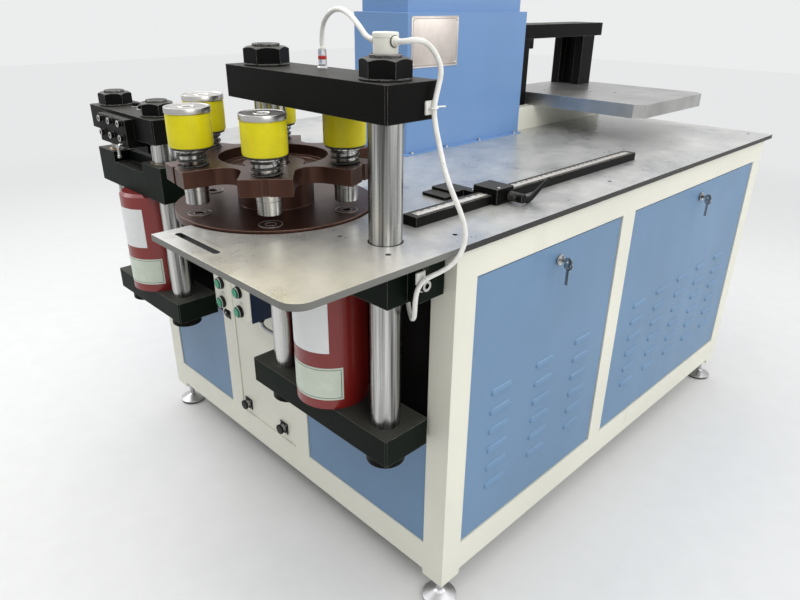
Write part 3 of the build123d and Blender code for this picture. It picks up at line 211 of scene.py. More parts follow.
class Finish:
    """A procedural material made of named nodes."""

    def __init__(self, name, colour=(0.8, 0.8, 0.8), roughness=0.5, metallic=0.0, **settings):
        self.material = bpy.data.materials.new(name)
        self.material.use_nodes = True
        self.tree = self.material.node_tree
        self.shader = self.tree.nodes["Principled BSDF"]
        self.set("Base Color", (*colour, 1.0))
        self.set("Roughness", roughness)
        self.set("Metallic", metallic)
        for key, value in settings.items():
            self.set(key.replace("_", " ").title().replace("Ior", "IOR"), value)

    def set(self, name, value):
        """Puts a number, a colour or a link on one of the shader's sockets."""
        self.feed(self.shader.inputs[name], value)

    def feed(self, socket, value):
        """Links a level to a socket, or writes a plain value there."""
        if isinstance(value, Level):
            self.tree.links.new(value.socket, socket)
        else:
            socket.default_value = value

    def node(self, kind, settings=None, inputs=None, output=0):
        """Adds a shader node: its settings first, then the values and links of its sockets."""
        added = self.tree.nodes.new("ShaderNode" + kind)
        for key, value in (settings or {}).items():
            setattr(added, key, value)
        for key, value in (inputs or {}).items():
            self.feed(added.inputs[key], value)
        return Level(self, added.outputs[output])

    def place(self):
        """The point on the surface, in the machine's own frame."""
        return self.node("TexCoord", output="Object")

    def stretched(self, scale):
        """The point with each axis multiplied, for grain that runs one way."""
        return self.node("VectorMath", {"operation": "MULTIPLY"}, {0: self.place(), 1: scale})

    def noise(self, scale, detail=3.0, roughness=0.55, stretch=None):
        """Soft random grain between 0 and 1."""
        where = self.stretched(stretch) if stretch else self.place()
        return self.node(
            "TexNoise", inputs={"Vector": where, "Scale": scale, "Detail": detail, "Roughness": roughness}
        )

    def axis(self, name):
        """One coordinate of the point."""
        return self.node("SeparateXYZ", inputs={0: self.place()}, output=name)

    def band(self, value, low, high):
        """1 where a value lies between two limits."""
        return (value > low) * (value < high)

    def ramp(self, value, low, high):
        """A value spread from 0 at low to 1 at high."""
        return self.node(
            "MapRange", {"clamp": True}, {"Value": value, "From Min": low, "From Max": high}
        )

    def blend(self, factor, first, second):
        """A colour that goes from the first to the second with the factor."""
        first = first if isinstance(first, Level) else (*first, 1.0)
        second = second if isinstance(second, Level) else (*second, 1.0)
        return self.node("Mix", {"data_type": "RGBA"}, {0: factor, 6: first, 7: second}, output=2)

    def edges(self, radius=0.0012):
        """The normal of slightly rounded edges, and how near an edge the point is."""
        rounded = self.node("Bevel", {"samples": 4}, {"Radius": radius})
        plain = self.node("NewGeometry", output="Normal")
        level = self.node("VectorMath", {"operation": "DOT_PRODUCT"}, {0: rounded, 1: plain}, "Value")
        return rounded, ((1.0 - level) * 9.0).clamped()

    def relief(self, height, strength, distance, normal=None):
        """A bumpy surface from a height."""
        inputs = {"Height": height, "Strength": strength, "Distance": distance}
        if normal:
            inputs["Normal"] = normal
        self.set("Normal", self.node("Bump", inputs=inputs))

    def facing_up(self):
        """How far the surface faces up, from -1 to 1."""
        return self.node("SeparateXYZ", inputs={0: self.node("NewGeometry", output="Normal")}, output="Z")

    def coat(self, tone, roughness, height, strength, distance, normal=None):
        """Sets the colour, the roughness and the relief, and gives the material."""
        self.set("Base Color", tone)
        self.set("Roughness", roughness)
        self.relief(height, strength, distance, normal)
        return self.material


def shade(colour, factor):
    """A colour made lighter or darker by a factor."""
    return tuple(min(1.0, channel * factor) for channel in colour)


def enamel(name, colour, roughness=0.36, wear=0.1, coat=0.0):
    """Sprayed enamel with faint orange peel, soft tone changes and a few rubbed edges."""
    finish = Finish(name, colour, coat_weight=coat)
    cloud = finish.noise(3.0, 4.0)
    smear = finish.noise(9.0, 5.0, 0.65, (1.0, 1.0, 0.35))
    tone = finish.blend(finish.ramp(cloud, 0.35, 0.7), shade(colour, 1 - wear), shade(colour, 1 + wear / 2))
    tone = finish.blend(finish.ramp(smear, 0.64, 0.92) * 0.3, tone, shade(colour, 0.6))
    rounded, edge = finish.edges(0.0015)
    tone = finish.blend(edge * finish.ramp(cloud, 0.4, 0.75) * 0.4, tone, shade(colour, 1.3))
    return finish.coat(
        tone, smear * 0.2 + (roughness - 0.08),
        finish.noise(650.0, 2.0), 0.09, 0.0004, rounded,
    )


def blackened(name, colour=(0.0032, 0.0032, 0.0030), roughness=0.42):
    """Blackened steel plate with an oily bloom, a painted sheen that lightens the faces looking up, and
    bright rubbed edges.
    """
    finish = Finish(name, colour, specular_ior_level=0.06)
    bloom = finish.noise(7.0, 5.0, 0.62)
    scratch = finish.noise(60.0, 3.0, 0.6, (1.0, 6.0, 6.0))
    rounded, edge = finish.edges(0.0016)
    tone = finish.blend(finish.ramp(bloom, 0.45, 0.78) * 0.5, colour, shade(colour, 2.4))
    up = finish.facing_up()
    # Painted sheen: faces that look up are blended lighter, standing in for the reflection of the lit
    # surroundings.
    tone = finish.blend(finish.ramp(up, 0.7, 0.98) * (bloom * 0.6 + 0.35), tone, (0.075, 0.073, 0.066))
    tone = finish.blend(edge * finish.ramp(scratch, 0.3, 0.6) * 0.8, tone, (0.34, 0.33, 0.31))
    return finish.coat(
        tone, bloom * 0.3 + (roughness - 0.12),
        scratch + finish.noise(320.0, 2.0), 0.08, 0.0006, rounded,
    )


def ground(
    name, colour=(0.42, 0.42, 0.41), along=(1.0, 14.0, 14.0), roughness=0.33, metallic=0.9,
    grain=70.0, bump=0.16,
):
    """Ground steel: fine lines one way, oily stains and duller patches."""
    finish = Finish(name, colour, metallic=metallic)
    lines = finish.noise(grain, 3.0, 0.6, along)
    patch = finish.noise(4.5, 6.0, 0.68)
    stain = finish.noise(16.0, 5.0, 0.7)
    rounded, edge = finish.edges(0.001)
    tone = finish.blend(finish.ramp(patch, 0.36, 0.68), shade(colour, 0.75), shade(colour, 1.2))
    tone = finish.blend(finish.ramp(stain, 0.58, 0.82) * 0.4, tone, shade(colour, 0.4))
    tone = finish.blend(edge * 0.6, tone, shade(colour, 1.7))
    return finish.coat(
        tone, patch * 0.28 + stain * 0.16 + (roughness - 0.2),
        lines, bump, 0.0004, rounded,
    )


def table_steel(name):
    """The worktable: ground and mottled on top, one scribed line, a warm painted light towards the nose, side
    faces painted dark as shade, and the slot's walls painted black as shade.
    """
    finish = Finish(name, (0.5, 0.5, 0.49))
    lines = finish.noise(60.0, 3.0, 0.6, (1.0, 12.0, 1.0))
    cross = finish.noise(34.0, 4.0, 0.7, (7.0, 1.0, 1.0))
    patch = finish.noise(3.6, 8.0, 0.72)
    cloud = finish.noise(11.0, 6.0, 0.7)
    drops = finish.noise(40.0, 4.0, 0.75)
    tone = finish.blend(finish.ramp(patch, 0.36, 0.64), (0.36, 0.37, 0.38), (0.62, 0.615, 0.59))
    tone = finish.blend(finish.ramp(cloud, 0.45, 0.72) * 0.5, tone, (0.74, 0.72, 0.67))
    tone = finish.blend(finish.ramp(drops, 0.6, 0.85) * 0.2, tone, (0.30, 0.29, 0.28))
    tone = finish.blend(finish.ramp(cross, 0.6, 0.85) * 0.25, tone, (0.76, 0.75, 0.72))
    x, y = finish.axis("X"), finish.axis("Y")
    # Painted light: the top is blended to a warm pale tone towards the nose, for the light that falls there.
    painted_light_nose = finish.ramp(x, CORNER.x - 0.05, CORNER.x - 0.28) * finish.ramp(y, CORNER.y + 0.40, CORNER.y + 0.12)
    tone = finish.blend(painted_light_nose * (cloud * 0.7 + 0.3), tone, (0.86, 0.80, 0.64))
    start, end = at(-306, 335, 0), at(-304, 263, 0)
    scribed = finish.band(x, start.x - 0.0006, start.x + 0.0004) * finish.band(y, end.y, start.y)
    tone = finish.blend(scribed * 0.8, tone, (0.14, 0.07, 0.045))
    spot = at(-122, 49, 0)
    reach = finish.node("VectorMath", {"operation": "DISTANCE"}, {
        0: finish.stretched((1.0, 1.0, 0.0)), 1: (spot.x, spot.y, 0.0),
    }, output="Value")
    tone = finish.blend(finish.ramp(reach, 0.0056, 0.0050), tone, (0.008, 0.008, 0.008))
    up = finish.facing_up()
    # Painted shade: the side faces get a near-black tone for the shade on them; the ground edge at the nose
    # stays lighter.
    side = finish.ramp(up, 0.75, 0.25)
    nose = finish.ramp(x, CORNER.x + 0.01, CORNER.x - 0.02)
    side_tone_with_painted_shade = finish.blend(nose, (0.022, 0.021, 0.020), (0.17, 0.17, 0.155))
    # Painted shade: the walls of the slot are painted black for the shade inside it.
    low, high = at(-335, 244, 0), at(-315, 392, 0)
    slot = finish.band(x, low.x, high.x) * finish.band(y, low.y, high.y)
    side_tone_with_painted_shade = finish.blend(slot, side_tone_with_painted_shade, (0.006, 0.006, 0.006))
    finish.set("Base Color", finish.blend(side, tone, side_tone_with_painted_shade))
    finish.set("Roughness", patch * 0.2 + cloud * 0.2 + 0.1 + side * 0.2)
    finish.set("Metallic", 0.55 - side * 0.3)
    rounded, _ = finish.edges(0.0012)
    finish.relief(lines + cross * 0.5 + cloud, 0.1, 0.0005, rounded)
    return finish.material


def chromed(name, colour=(0.47, 0.47, 0.455), roughness=0.2):
    """Hard chrome that has been ground round, with long dark and light streaks of painted reflection and a
    few rust specks.
    """
    finish = Finish(name, colour, metallic=1.0)
    rings = finish.noise(220.0, 2.0, 0.5, (0.15, 0.15, 6.0))
    painted_reflection_streak = finish.noise(55.0, 3.0, 0.6, (1.0, 1.0, 0.02))
    scuff = finish.noise(26.0, 5.0, 0.7, (5.0, 5.0, 0.5))
    specks = finish.noise(150.0, 3.0, 0.7)
    rounded, edge = finish.edges(0.0008)
    # Painted reflection: long dark and light streaks along the axis stand in for the surroundings mirrored in
    # the chrome.
    tone = finish.blend(finish.ramp(painted_reflection_streak, 0.38, 0.6), shade(colour, 0.2), shade(colour, 1.3))
    tone = finish.blend(finish.ramp(scuff, 0.55, 0.85) * 0.4, tone, shade(colour, 0.5))
    tone = finish.blend(finish.ramp(specks, 0.68, 0.78) * 0.6, tone, (0.12, 0.09, 0.06))
    return finish.coat(
        finish.blend(edge * 0.4, tone, (0.75, 0.74, 0.72)), scuff * 0.22 + (roughness - 0.06),
        rings, 0.07, 0.0004, rounded,
    )


def turned_brown(name, colour):
    """Red-brown turret metal: faces turned round the spindle, a painted sheen on top, painted light bands
    down the sides, rubbed light along the edges.
    """
    finish = Finish(name, colour, metallic=0.75)
    offset = finish.node(
        "VectorMath", {"operation": "SUBTRACT"}, {0: finish.place(), 1: (TURRET.x, TURRET.y, 0.0)}
    )
    flat = finish.node("VectorMath", {"operation": "MULTIPLY"}, {0: offset, 1: (1.0, 1.0, 0.0)})
    radius = finish.node("VectorMath", {"operation": "LENGTH"}, {0: flat}, output="Value")
    rings = finish.node(
        "TexNoise", {"noise_dimensions": "1D"}, {"W": radius, "Scale": 900.0, "Detail": 2.0}
    )
    oil = finish.noise(9.0, 5.0, 0.65)
    painted_light_band = finish.noise(60.0, 3.0, 0.5, (1.0, 1.0, 0.05))
    up = finish.facing_up()
    top = finish.ramp(up, 0.6, 0.95)
    # Painted light: soft upright bands of lighter and darker tone stand in for the bands of light on the
    # satin sides.
    tone = finish.blend(finish.ramp(painted_light_band, 0.3, 0.7), shade(colour, 0.78), shade(colour, 1.12))
    # Painted sheen: top faces are blended lighter in patches, standing in for the light they reflect.
    tone = finish.blend(top * finish.ramp(oil, 0.3, 0.6) * 0.45, tone, (0.105, 0.062, 0.048))
    rounded, edge = finish.edges(0.002)
    return finish.coat(
        finish.blend(edge * 0.55, tone, (0.34, 0.22, 0.17)), oil * 0.25 + 0.26,
        rings * top + painted_light_band * 0.2, 0.1, 0.0004, rounded,
    )


def cast_urethane(name, colour):
    """Cast urethane, slightly cloudy, with darker handled patches."""
    finish = Finish(name, colour, specular_ior_level=0.3, subsurface_weight=0.06)
    cloud = finish.noise(22.0, 4.0, 0.6)
    grime = finish.noise(60.0, 5.0, 0.7)
    tone = finish.blend(finish.ramp(cloud, 0.3, 0.75), shade(colour, 0.86), shade(colour, 1.08))
    tone = finish.blend(finish.ramp(grime, 0.62, 0.88) * 0.3, tone, (0.32, 0.26, 0.03))
    return finish.coat(
        tone, cloud * 0.2 + 0.3,
        finish.noise(240.0, 2.0), 0.06, 0.0004,
    )


def moulded(name, colour, roughness=0.42, shine=0.5):
    """Moulded plastic or rubber with a fine sparked surface."""
    finish = Finish(name, colour, specular_ior_level=shine)
    dust = finish.noise(35.0, 5.0, 0.7)
    tone = finish.blend(finish.ramp(dust, 0.5, 0.85) * 0.4, colour, shade(colour, 1.5))
    rounded, _ = finish.edges(0.001)
    return finish.coat(
        tone, dust * 0.2 + (roughness - 0.08),
        finish.noise(900.0, 2.0), 0.1, 0.0003, rounded,
    )


def scale_strip(name):
    """The gauge's pale steel strip with millimetre, half-centimetre and centimetre marks along one edge."""
    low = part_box("gauge_bar")[0]
    finish = Finish(name, (0.6, 0.58, 0.55), metallic=0.45)
    along = finish.axis("X") - low.x
    reach = finish.axis("Y") - (low.y + 0.0085)

    def marks(pitch, width, length):
        step = (along * (1 / pitch)).math("FRACT")
        return (step < width / pitch) * (reach < length)

    ink = (marks(0.001, 0.0003, 0.004) + marks(0.005, 0.0004, 0.006) + marks(0.01, 0.0006, 0.008)).clamped()
    bloom = finish.noise(9.0, 5.0)
    scuff = finish.noise(80.0, 4.0, 0.7, (0.3, 3.0, 1.0))
    steel = finish.blend(bloom, (0.46, 0.43, 0.40), (0.70, 0.67, 0.62))
    steel = finish.blend(finish.ramp(scuff, 0.6, 0.8) * 0.5, steel, (0.26, 0.24, 0.22))
    return finish.coat(
        finish.blend(ink * 0.85, steel, (0.03, 0.03, 0.03)), bloom * 0.2 + 0.28,
        finish.noise(300.0, 2.0), 0.06, 0.0004,
    )


def clear_plastic(name):
    """The sensor's clear body."""
    finish = Finish(name, (0.85, 0.88, 0.88), roughness=0.1, transmission_weight=0.8)
    cloud = finish.noise(90.0, 3.0)
    finish.set("Roughness", cloud * 0.12 + 0.05)
    return finish.material


def braided_white(name):
    """The cable's white jacket: a matte sheath with handling marks."""
    finish = Finish(name, (0.80, 0.79, 0.75), roughness=0.55)
    grime = finish.noise(45.0, 5.0, 0.7)
    specks = finish.noise(160.0, 3.0, 0.6)
    tone = finish.blend(finish.ramp(grime, 0.45, 0.8) * 0.6, (0.82, 0.81, 0.77), (0.52, 0.50, 0.44))
    return finish.coat(
        finish.blend(finish.ramp(specks, 0.66, 0.74) * 0.7, tone, (0.16, 0.15, 0.13)), grime * 0.2 + 0.42,
        finish.noise(260.0, 2.0), 0.2, 0.0006,
    )


MATERIALS = {}
# The finishes whose material isn't called what the CAD calls it
MATERIAL_NAMES = {"turret_brown": "turned_brown", "urethane": "cast_urethane"}


def finish_of(name):
    """A finish by name, made when it is first asked for."""
    if name not in MATERIALS:
        paint = colours()
        makers = {
            "cream_paint": (enamel, paint.cream, 0.34, 0.05),
            "door_blue": (enamel, paint.door_blue, 0.38, 0.08),
            "housing_blue": (enamel, paint.housing_blue, 0.36, 0.06),
            # Painted shade: the housing blue darkened to navy, for the button box.
            "navy_paint": (enamel, (0.018, 0.035, 0.095), 0.4),
            "cylinder_red": (enamel, paint.cylinder_red, 0.3, 0.1, 0.25),
            "motor_grey": (enamel, (0.2, 0.23, 0.25), 0.45, 0.1),
            "black_steel": (blackened,),
            "worn_black": (blackened, (0.11, 0.107, 0.10), 0.36),
            # Painted reflection: a green tint in the black stands in for green reflections on the lower
            # plates and blocks.
            "green_black": (blackened, (0.0034, 0.0068, 0.0043), 0.44),
            "ground_steel": (ground,),
            "table_steel": (table_steel,),
            "chromed_steel": (chromed,),
            "bright_steel": (ground, (0.48, 0.47, 0.45), (1.0, 1.0, 1.0), 0.3, 1.0, 900.0, 0.03),
            "zinc_steel": (ground, (0.52, 0.52, 0.53), (1.0, 1.0, 8.0), 0.3),
            "galvanised": (ground, (0.42, 0.43, 0.44), (1.0, 1.0, 1.0), 0.45, 0.7),
            "bronze": (ground, (0.42, 0.27, 0.11), (1.0, 1.0, 8.0), 0.3),
            "turret_brown": (turned_brown, paint.turret_brown),
            "urethane": (cast_urethane, paint.urethane),
            "black_plastic": (moulded, (0.006, 0.006, 0.0065), 0.46, 0.22),
            "green_plastic": (moulded, paint.button_green, 0.3),
            "white_plastic": (moulded, (0.72, 0.71, 0.63)),
            "tie_white": (moulded, (0.80, 0.80, 0.76), 0.35),
            "red_plastic": (moulded, (0.5, 0.015, 0.01), 0.3),
            "rubber_sole": (moulded, (0.02, 0.02, 0.02), 0.6),
            "blank_plate": (ground, (0.60, 0.54, 0.50), (10.0, 1.0, 1.0), 0.38, 0.6),
            "plate_border": (ground, (0.20, 0.17, 0.155), (1.0, 1.0, 1.0), 0.4, 0.5),
            "pale_label": (moulded, (0.60, 0.66, 0.56), 0.36),
            "white_label": (moulded, (0.78, 0.79, 0.79), 0.32),
            "label_line": (moulded, (0.10, 0.13, 0.12), 0.4),
            "scale_strip": (scale_strip,),
            "clear_plastic": (clear_plastic,),
            "braided_white": (braided_white,),
            "spring_steel": (blackened, (0.012, 0.0115, 0.011), 0.3),
        }
        make, *values = makers[name]
        MATERIALS[name] = make(MATERIAL_NAMES.get(name, name), *values)
    return MATERIALS[name]


class Form:
    """Collects turned, blocky and bent shapes into one mesh. Sizes are in millimetres, places in metres."""

    def __init__(self):
        self.mesh = bmesh.new()
        self.slot = 0

    def paint(self, slot):
        """Chooses the material slot of the shapes that follow."""
        self.slot = slot
        return self

    def mark(self, before):
        """Gives the faces from a place in the list on the chosen slot and smooth shading.

        A shape that follows a block has its first six faces before that place. They stay flat in slot 0,
        and six faces of the block are taken in their stead.
        """
        self.mesh.faces.ensure_lookup_table()
        for face in self.mesh.faces[before:]:
            face.material_index = self.slot
            face.smooth = True

    def loft(self, sections, closed=False, capped=False, open_rings=False):
        """Joins sections, lists of points in metres, with faces; a section of one point closes a tip."""
        before = len(self.mesh.faces)
        rings = [[self.mesh.verts.new(point) for point in section] for section in sections]
        pairs = list(zip(rings, rings[1:]))
        if closed:
            pairs.append((rings[-1], rings[0]))
        for lower, upper in pairs:
            count = max(len(lower), len(upper))
            for k in range(count - 1 if open_rings else count):
                a, b = lower[k % len(lower)], lower[(k + 1) % len(lower)]
                c, d = upper[(k + 1) % len(upper)], upper[k % len(upper)]
                corners = [v for n, v in enumerate((a, b, c, d)) if v not in (a, b, c, d)[:n]]
                if len(corners) > 2:
                    self.mesh.faces.new(corners)
        if capped:
            self.mesh.faces.new(list(reversed(rings[0])))
            self.mesh.faces.new(rings[-1])
        self.mark(before)
        return self

    def turn(self, profile, centre, axis=UP, steps=48, closed=False):
        """Turns a profile of (radius, height) pairs about an axis through centre."""
        swing = Vector(UP).rotation_difference(Vector(axis)).to_matrix()
        sections = []
        for radius, height in profile:
            count = steps if radius else 1
            angles = [2 * math.pi * k / count for k in range(count)]
            sections.append([
                Vector(centre) + swing @ Vector((radius * math.cos(a), radius * math.sin(a), height)) / 1000
                for a in angles
            ])
        return self.loft(sections, closed)

    def drum(self, radius, low, high, centre, axis=UP, steps=48):
        """Adds a plain cylinder between two heights."""
        return self.turn([(0, low), (radius, low), (radius, high), (0, high)], centre, axis, steps)

    def ring(self, inner, outer, low, high, centre, axis=UP, steps=48):
        """Adds a plain ring between two heights."""
        profile = [(inner, low), (outer, low), (outer, high), (inner, high)]
        return self.turn(profile, centre, axis, steps, closed=True)

    def block(self, low, high, edge=1.0):
        """Adds a block between two corners with rounded edges."""
        before = len(self.mesh.faces)
        low, high = Vector(low), Vector(high)
        shape = Matrix.Translation((low + high) / 2) @ Matrix.Diagonal((*(high - low), 1))
        made = bmesh.ops.create_cube(self.mesh, size=1.0, matrix=shape)
        lines = list(dict.fromkeys(line for vertex in made["verts"] for line in vertex.link_edges))
        bmesh.ops.bevel(self.mesh, geom=lines, offset=edge / 1000, segments=2, profile=0.5, affect="EDGES")
        self.mark(before)
        return self

    def rod(self, points, radius, steps=12, flat=1.0):
        """Bends a round or flattened rod along points in metres, with one radius or one for each point."""
        points = [Vector(point) for point in points]
        radii = radius if isinstance(radius, list) else [radius] * len(points)
        side = None
        sections = [[points[0]]]
        for k, (point, size) in enumerate(zip(points, radii)):
            ahead = (points[min(k + 1, len(points) - 1)] - points[max(k - 1, 0)]).normalized()
            if side is None:
                side = (ahead.cross((0, 1, 0)) if abs(ahead.y) < 0.9 else ahead.orthogonal()).normalized()
            side = (side - ahead * side.dot(ahead)).normalized()
            other = ahead.cross(side)
            sections.append([
                point + (side * math.cos(a) + other * math.sin(a) * flat) * size / 1000
                for a in (2 * math.pi * n / steps for n in range(steps))
            ])
        return self.loft([*sections, [points[-1]]])

    def nut(self, base, flats, height, turned, bore):
        """Adds a hexagon nut whose top corners are turned off in curved facets."""
        rim = flats * 0.485
        levels = {"foot": [], "side": [], "rim": [], "mouth": [], "heel": []}
        for step in range(72):
            angle = math.radians(5 * step + turned)
            corner = flats / 2 / math.cos(math.radians(5 * step % 60 - 30))
            drop = (corner - rim) * 0.6
            for level, radius, z in (
                ("foot", corner, 0), ("side", corner, height - drop), ("rim", rim, height),
                ("mouth", bore, height), ("heel", bore, 0),
            ):
                levels[level].append(Vector(base) + polar(radius, angle, z))
        foot, side, top, mouth, heel = levels.values()
        plain = self.slot
        self.loft([mouth, heel, foot, side])
        self.paint(plain + 1).loft([side, top, mouth])
        return self.paint(plain)

    def wrap(self, centre, radius, middle, half, low, high, thickness):
        """Bends a thin plate round an upright cylinder, half degrees to each side of the middle angle."""
        sections = []
        for step in range(25):
            angle = math.radians(middle + half * (step / 12 - 1))
            sections.append([
                Vector((centre.x, centre.y, 0)) + polar(r, angle, z) for r, z in (
                    (radius, low), (radius + thickness, low), (radius + thickness, high), (radius, high)
                )
            ])
        return self.loft(sections, capped=True)

    def border(self, low, high, width, rise, normal):
        """Adds four thin bars round a rectangle that faces along -X or -Y."""
        low, high = Vector(low), Vector(high)
        run = 1 if normal == "x" else 0
        for start, end in (
            ((0, 0), (1, None)), ((0, 1), (1, None)), ((0, 0), (None, 1)), ((1, 0), (None, 1)),
        ):
            a, b = low.copy(), high.copy()
            step = width / 1000
            if end[1] is None:
                edge = low.z if start[1] == 0 else high.z - step
                a.z, b.z = edge, edge + step
            else:
                edge = low[run] if start[0] == 0 else high[run] - step
                a[run], b[run] = edge, edge + step
            b[1 - run] = a[1 - run] + rise / 1000
            self.block(a, b, 0.1)
        return self

    def finish(self, name, body, slot, *materials, angle=35):
        """Makes the object, gives it its finishes and rides it on a body."""
        bmesh.ops.recalc_face_normals(self.mesh, faces=self.mesh.faces)
        data = bpy.data.meshes.new(name)
        self.mesh.to_mesh(data)
        self.mesh.free()
        data.set_sharp_from_angle(angle=math.radians(angle))
        for material in materials:
            data.materials.append(finish_of(material))
        piece = bpy.data.objects.new(name, data)
        bpy.context.scene.collection.objects.link(piece)
        if body:
            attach(piece, body)
        return piece


def cap_screw(form, centre, axis, radius=5.0, head=5.0):
    """Adds a socket head cap screw whose head stands out of centre along axis."""
    socket = radius * 0.52
    form.turn(
        [(0, head * 0.45), (socket, head * 0.45), (socket, head), (radius - 0.5, head),
         (radius, head - 0.5), (radius, 0), (0, 0)],
        centre, axis, 24,
    )


def washer(form, centre, axis, radius, thickness):
    """Adds a plain washer or rim on a face."""
    form.turn(
        [(0, 0), (radius, 0), (radius, thickness - 0.3), (radius - 0.3, thickness), (0, thickness)],
        centre, axis, 32,
    )


class CadFinishes(bpy.types.Operator):
    """Give every CAD piece its finish"""

    bl_idname = "machine.cad_finishes"
    bl_label = "CAD finishes"

    def execute(self, context):
        own = {
            # The button box wears the housing blue darkened to navy as painted shade.
            "worktable": "table_steel", "die_rings": "turret_brown", "button_box": "navy_paint",
            # The lower plates and blocks get black with a green tint as painted reflection.
            "cutter_block": "green_black", "press_lower_plate": "green_black",
            "cutter_lower_plate": "green_black", "press_block": "green_black",
            "turret_spindle": "turret_brown",
        }
        for entry in frame["record"]["subparts"]:
            node = frame["nodes"][entry["node"]]
            material = finish_of(own.get(entry["node"], entry["material_slot"]))
            node.data.materials.clear()
            node.data.materials.append(material)
        return {"FINISHED"}


def station_middles():
    """The axis of each punch, from its CAD node."""
    return {k: middle(f"punch_{k}") for k in range(1, 7)}


class Punches(bpy.types.Operator):
    """Turn the punches with their caps, sleeves, washers and cap screws"""

    bl_idname = "machine.punches"
    bl_label = "Punches"

    def execute(self, context):
        for number, centre in station_middles().items():
            foot = Vector((centre.x, centre.y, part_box(f"punch_{number}")[0].z))
            form = Form()
            form.turn(
                [(0, 14), (9, 14), (9, 0.6), (9.6, 0), (21.7, 0), (22.5, 0.8), (22.5, 26), (23.2, 26.8),
                 (23.2, 62), (23.9, 63), (24, 92), (24, 94.5), (22.8, 95.2), (22.8, 97.5), (24, 98.2),
                 (24, 100.5), (29.2, 100.5), (30, 101.3), (30, 105.8), (29.4, 106.6), (0, 106.6)],
                foot,
            )
            form.paint(1).turn(
                [(0, 170), (41.2, 170), (42, 170.8), (42, 179.8), (41.2, 181), (38.6, 181), (37.6, 180.2),
                 (16, 180.2), (15.2, 181), (13.2, 181), (12.2, 179.8), (7.5, 179.8), (7.5, 176), (0, 176)],
                foot, steps=64,
            )
            form.paint(2).drum(7.4, 176.2, 177.4, foot, steps=24)
            form.turn(
                [(0, 104.5), (35, 104.5), (37.5, 105.2), (38.2, 107.4), (37, 109.6), (0, 109.6)],
                foot, steps=64,
            )
            form.paint(3).turn(
                [(0, 109), (38.6, 109), (40.2, 110.2), (40.8, 113), (41.0, 140), (40.8, 166.5), (40.0, 169.6),
                 (38.8, 170.4), (0, 170.4)],
                foot, steps=64,
            )
            piece = form.finish(
                f"punch_{number}_turned", f"punch_{number}", "urethane",
                "chromed_steel", "bright_steel", "spring_steel", "urethane",
            )
            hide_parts(f"punch_{number}")
        return {"FINISHED"}


class DieRims(bpy.types.Operator):
    """Turn the bright rims of the dies in the turret's disc"""

    bl_idname = "machine.die_rims"
    bl_label = "Die rims"

    def execute(self, context):
        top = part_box("die_rings")[1].z
        form = Form()
        for centre in station_middles().values():
            spot = Vector((centre.x, centre.y, top))
            form.ring(21.4, 22.3, 0, 0.4, spot)
            form.ring(10.2, 11.0, 0, 0.4, spot)
        form.finish("die_rims", "turret", "ground_steel", "galvanised")
        return {"FINISHED"}


class Springs(bpy.types.Operator):
    """Wind a return spring round each punch"""

    bl_idname = "machine.springs"
    bl_label = "Punch springs"

    def execute(self, context):
        wire = sizes().spring_wire * 1000
        bottom, top, radius = SPRING_BOTTOM, SPRING_TOP, SPRING_RADIUS
        steps = round(sizes().spring_turns * 28)
        for number, centre in station_middles().items():
            start = math.radians(40 * number)
            points = []
            for k in range(steps + 1):
                share = k / steps
                angle = start + share * sizes().spring_turns * 2 * math.pi
                height = bottom + wire / 2 + (top - bottom - wire) * share
                points.append(Vector((centre.x, centre.y, 0)) + polar(radius, angle, height))
            coil = Form().rod(points, wire / 2, 8).finish(
                f"spring_{number}", "turret", "black_steel", "spring_steel"
            )
            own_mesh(coil)
        return {"FINISHED"}


class YokeNuts(bpy.types.Operator):
    """Cut the chamfered nuts, washers and threaded ends of the four columns"""

    bl_idname = "machine.yoke_nuts"
    bl_label = "Column nuts"

    def execute(self, context):
        for yoke in ("press", "cutter"):
            low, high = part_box(f"{yoke}_columns")
            beam_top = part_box(f"{yoke}_beam")[1].z
            plate_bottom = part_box(f"{yoke}_lower_plate")[0].z
            form = Form()
            for y, turned in ((low.y + COLUMN_INSET, 8), (high.y - COLUMN_INSET, 31)):
                base = Vector((middle(f"{yoke}_columns").x, y, beam_top))
                bore = COLUMN_BORE
                form.turn(
                    [(bore, 0), (42.6, 0), (43, 0.5), (43, 3.4), (42.2, 4), (bore, 4)], base, closed=True
                )
                form.nut(base + Vector((0, 0, 0.004)), 75, 30, turned, bore)
                form.turn(
                    [(bore, -28), (39, -28), (40, -27), (40, -0.5), (39.5, 0), (bore, 0)],
                    Vector((base.x, y, plate_bottom)), closed=True,
                )
            piece = form.finish(
                f"{yoke}_nuts_cut", yoke, "black_steel", "black_steel", "worn_black", angle=22
            )
            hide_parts(f"{yoke}_nuts")
            ends = Form()
            for y in (low.y + COLUMN_INSET, high.y - COLUMN_INSET):
                base = Vector((middle(f"{yoke}_columns").x, y, beam_top))
                turns = [(26.1, 33.9)]
                for k in range(4):
                    turns += [(26.3, 34.4 + k * 1.1), (26.05, 34.9 + k * 1.1)]
                ends.turn([*turns, (25.6, 39.1), (19, 39.15), (0, 39.15)], base)
            ends.finish(f"{yoke}_column_ends", yoke, "chromed_steel", "black_steel")
        return {"FINISHED"}


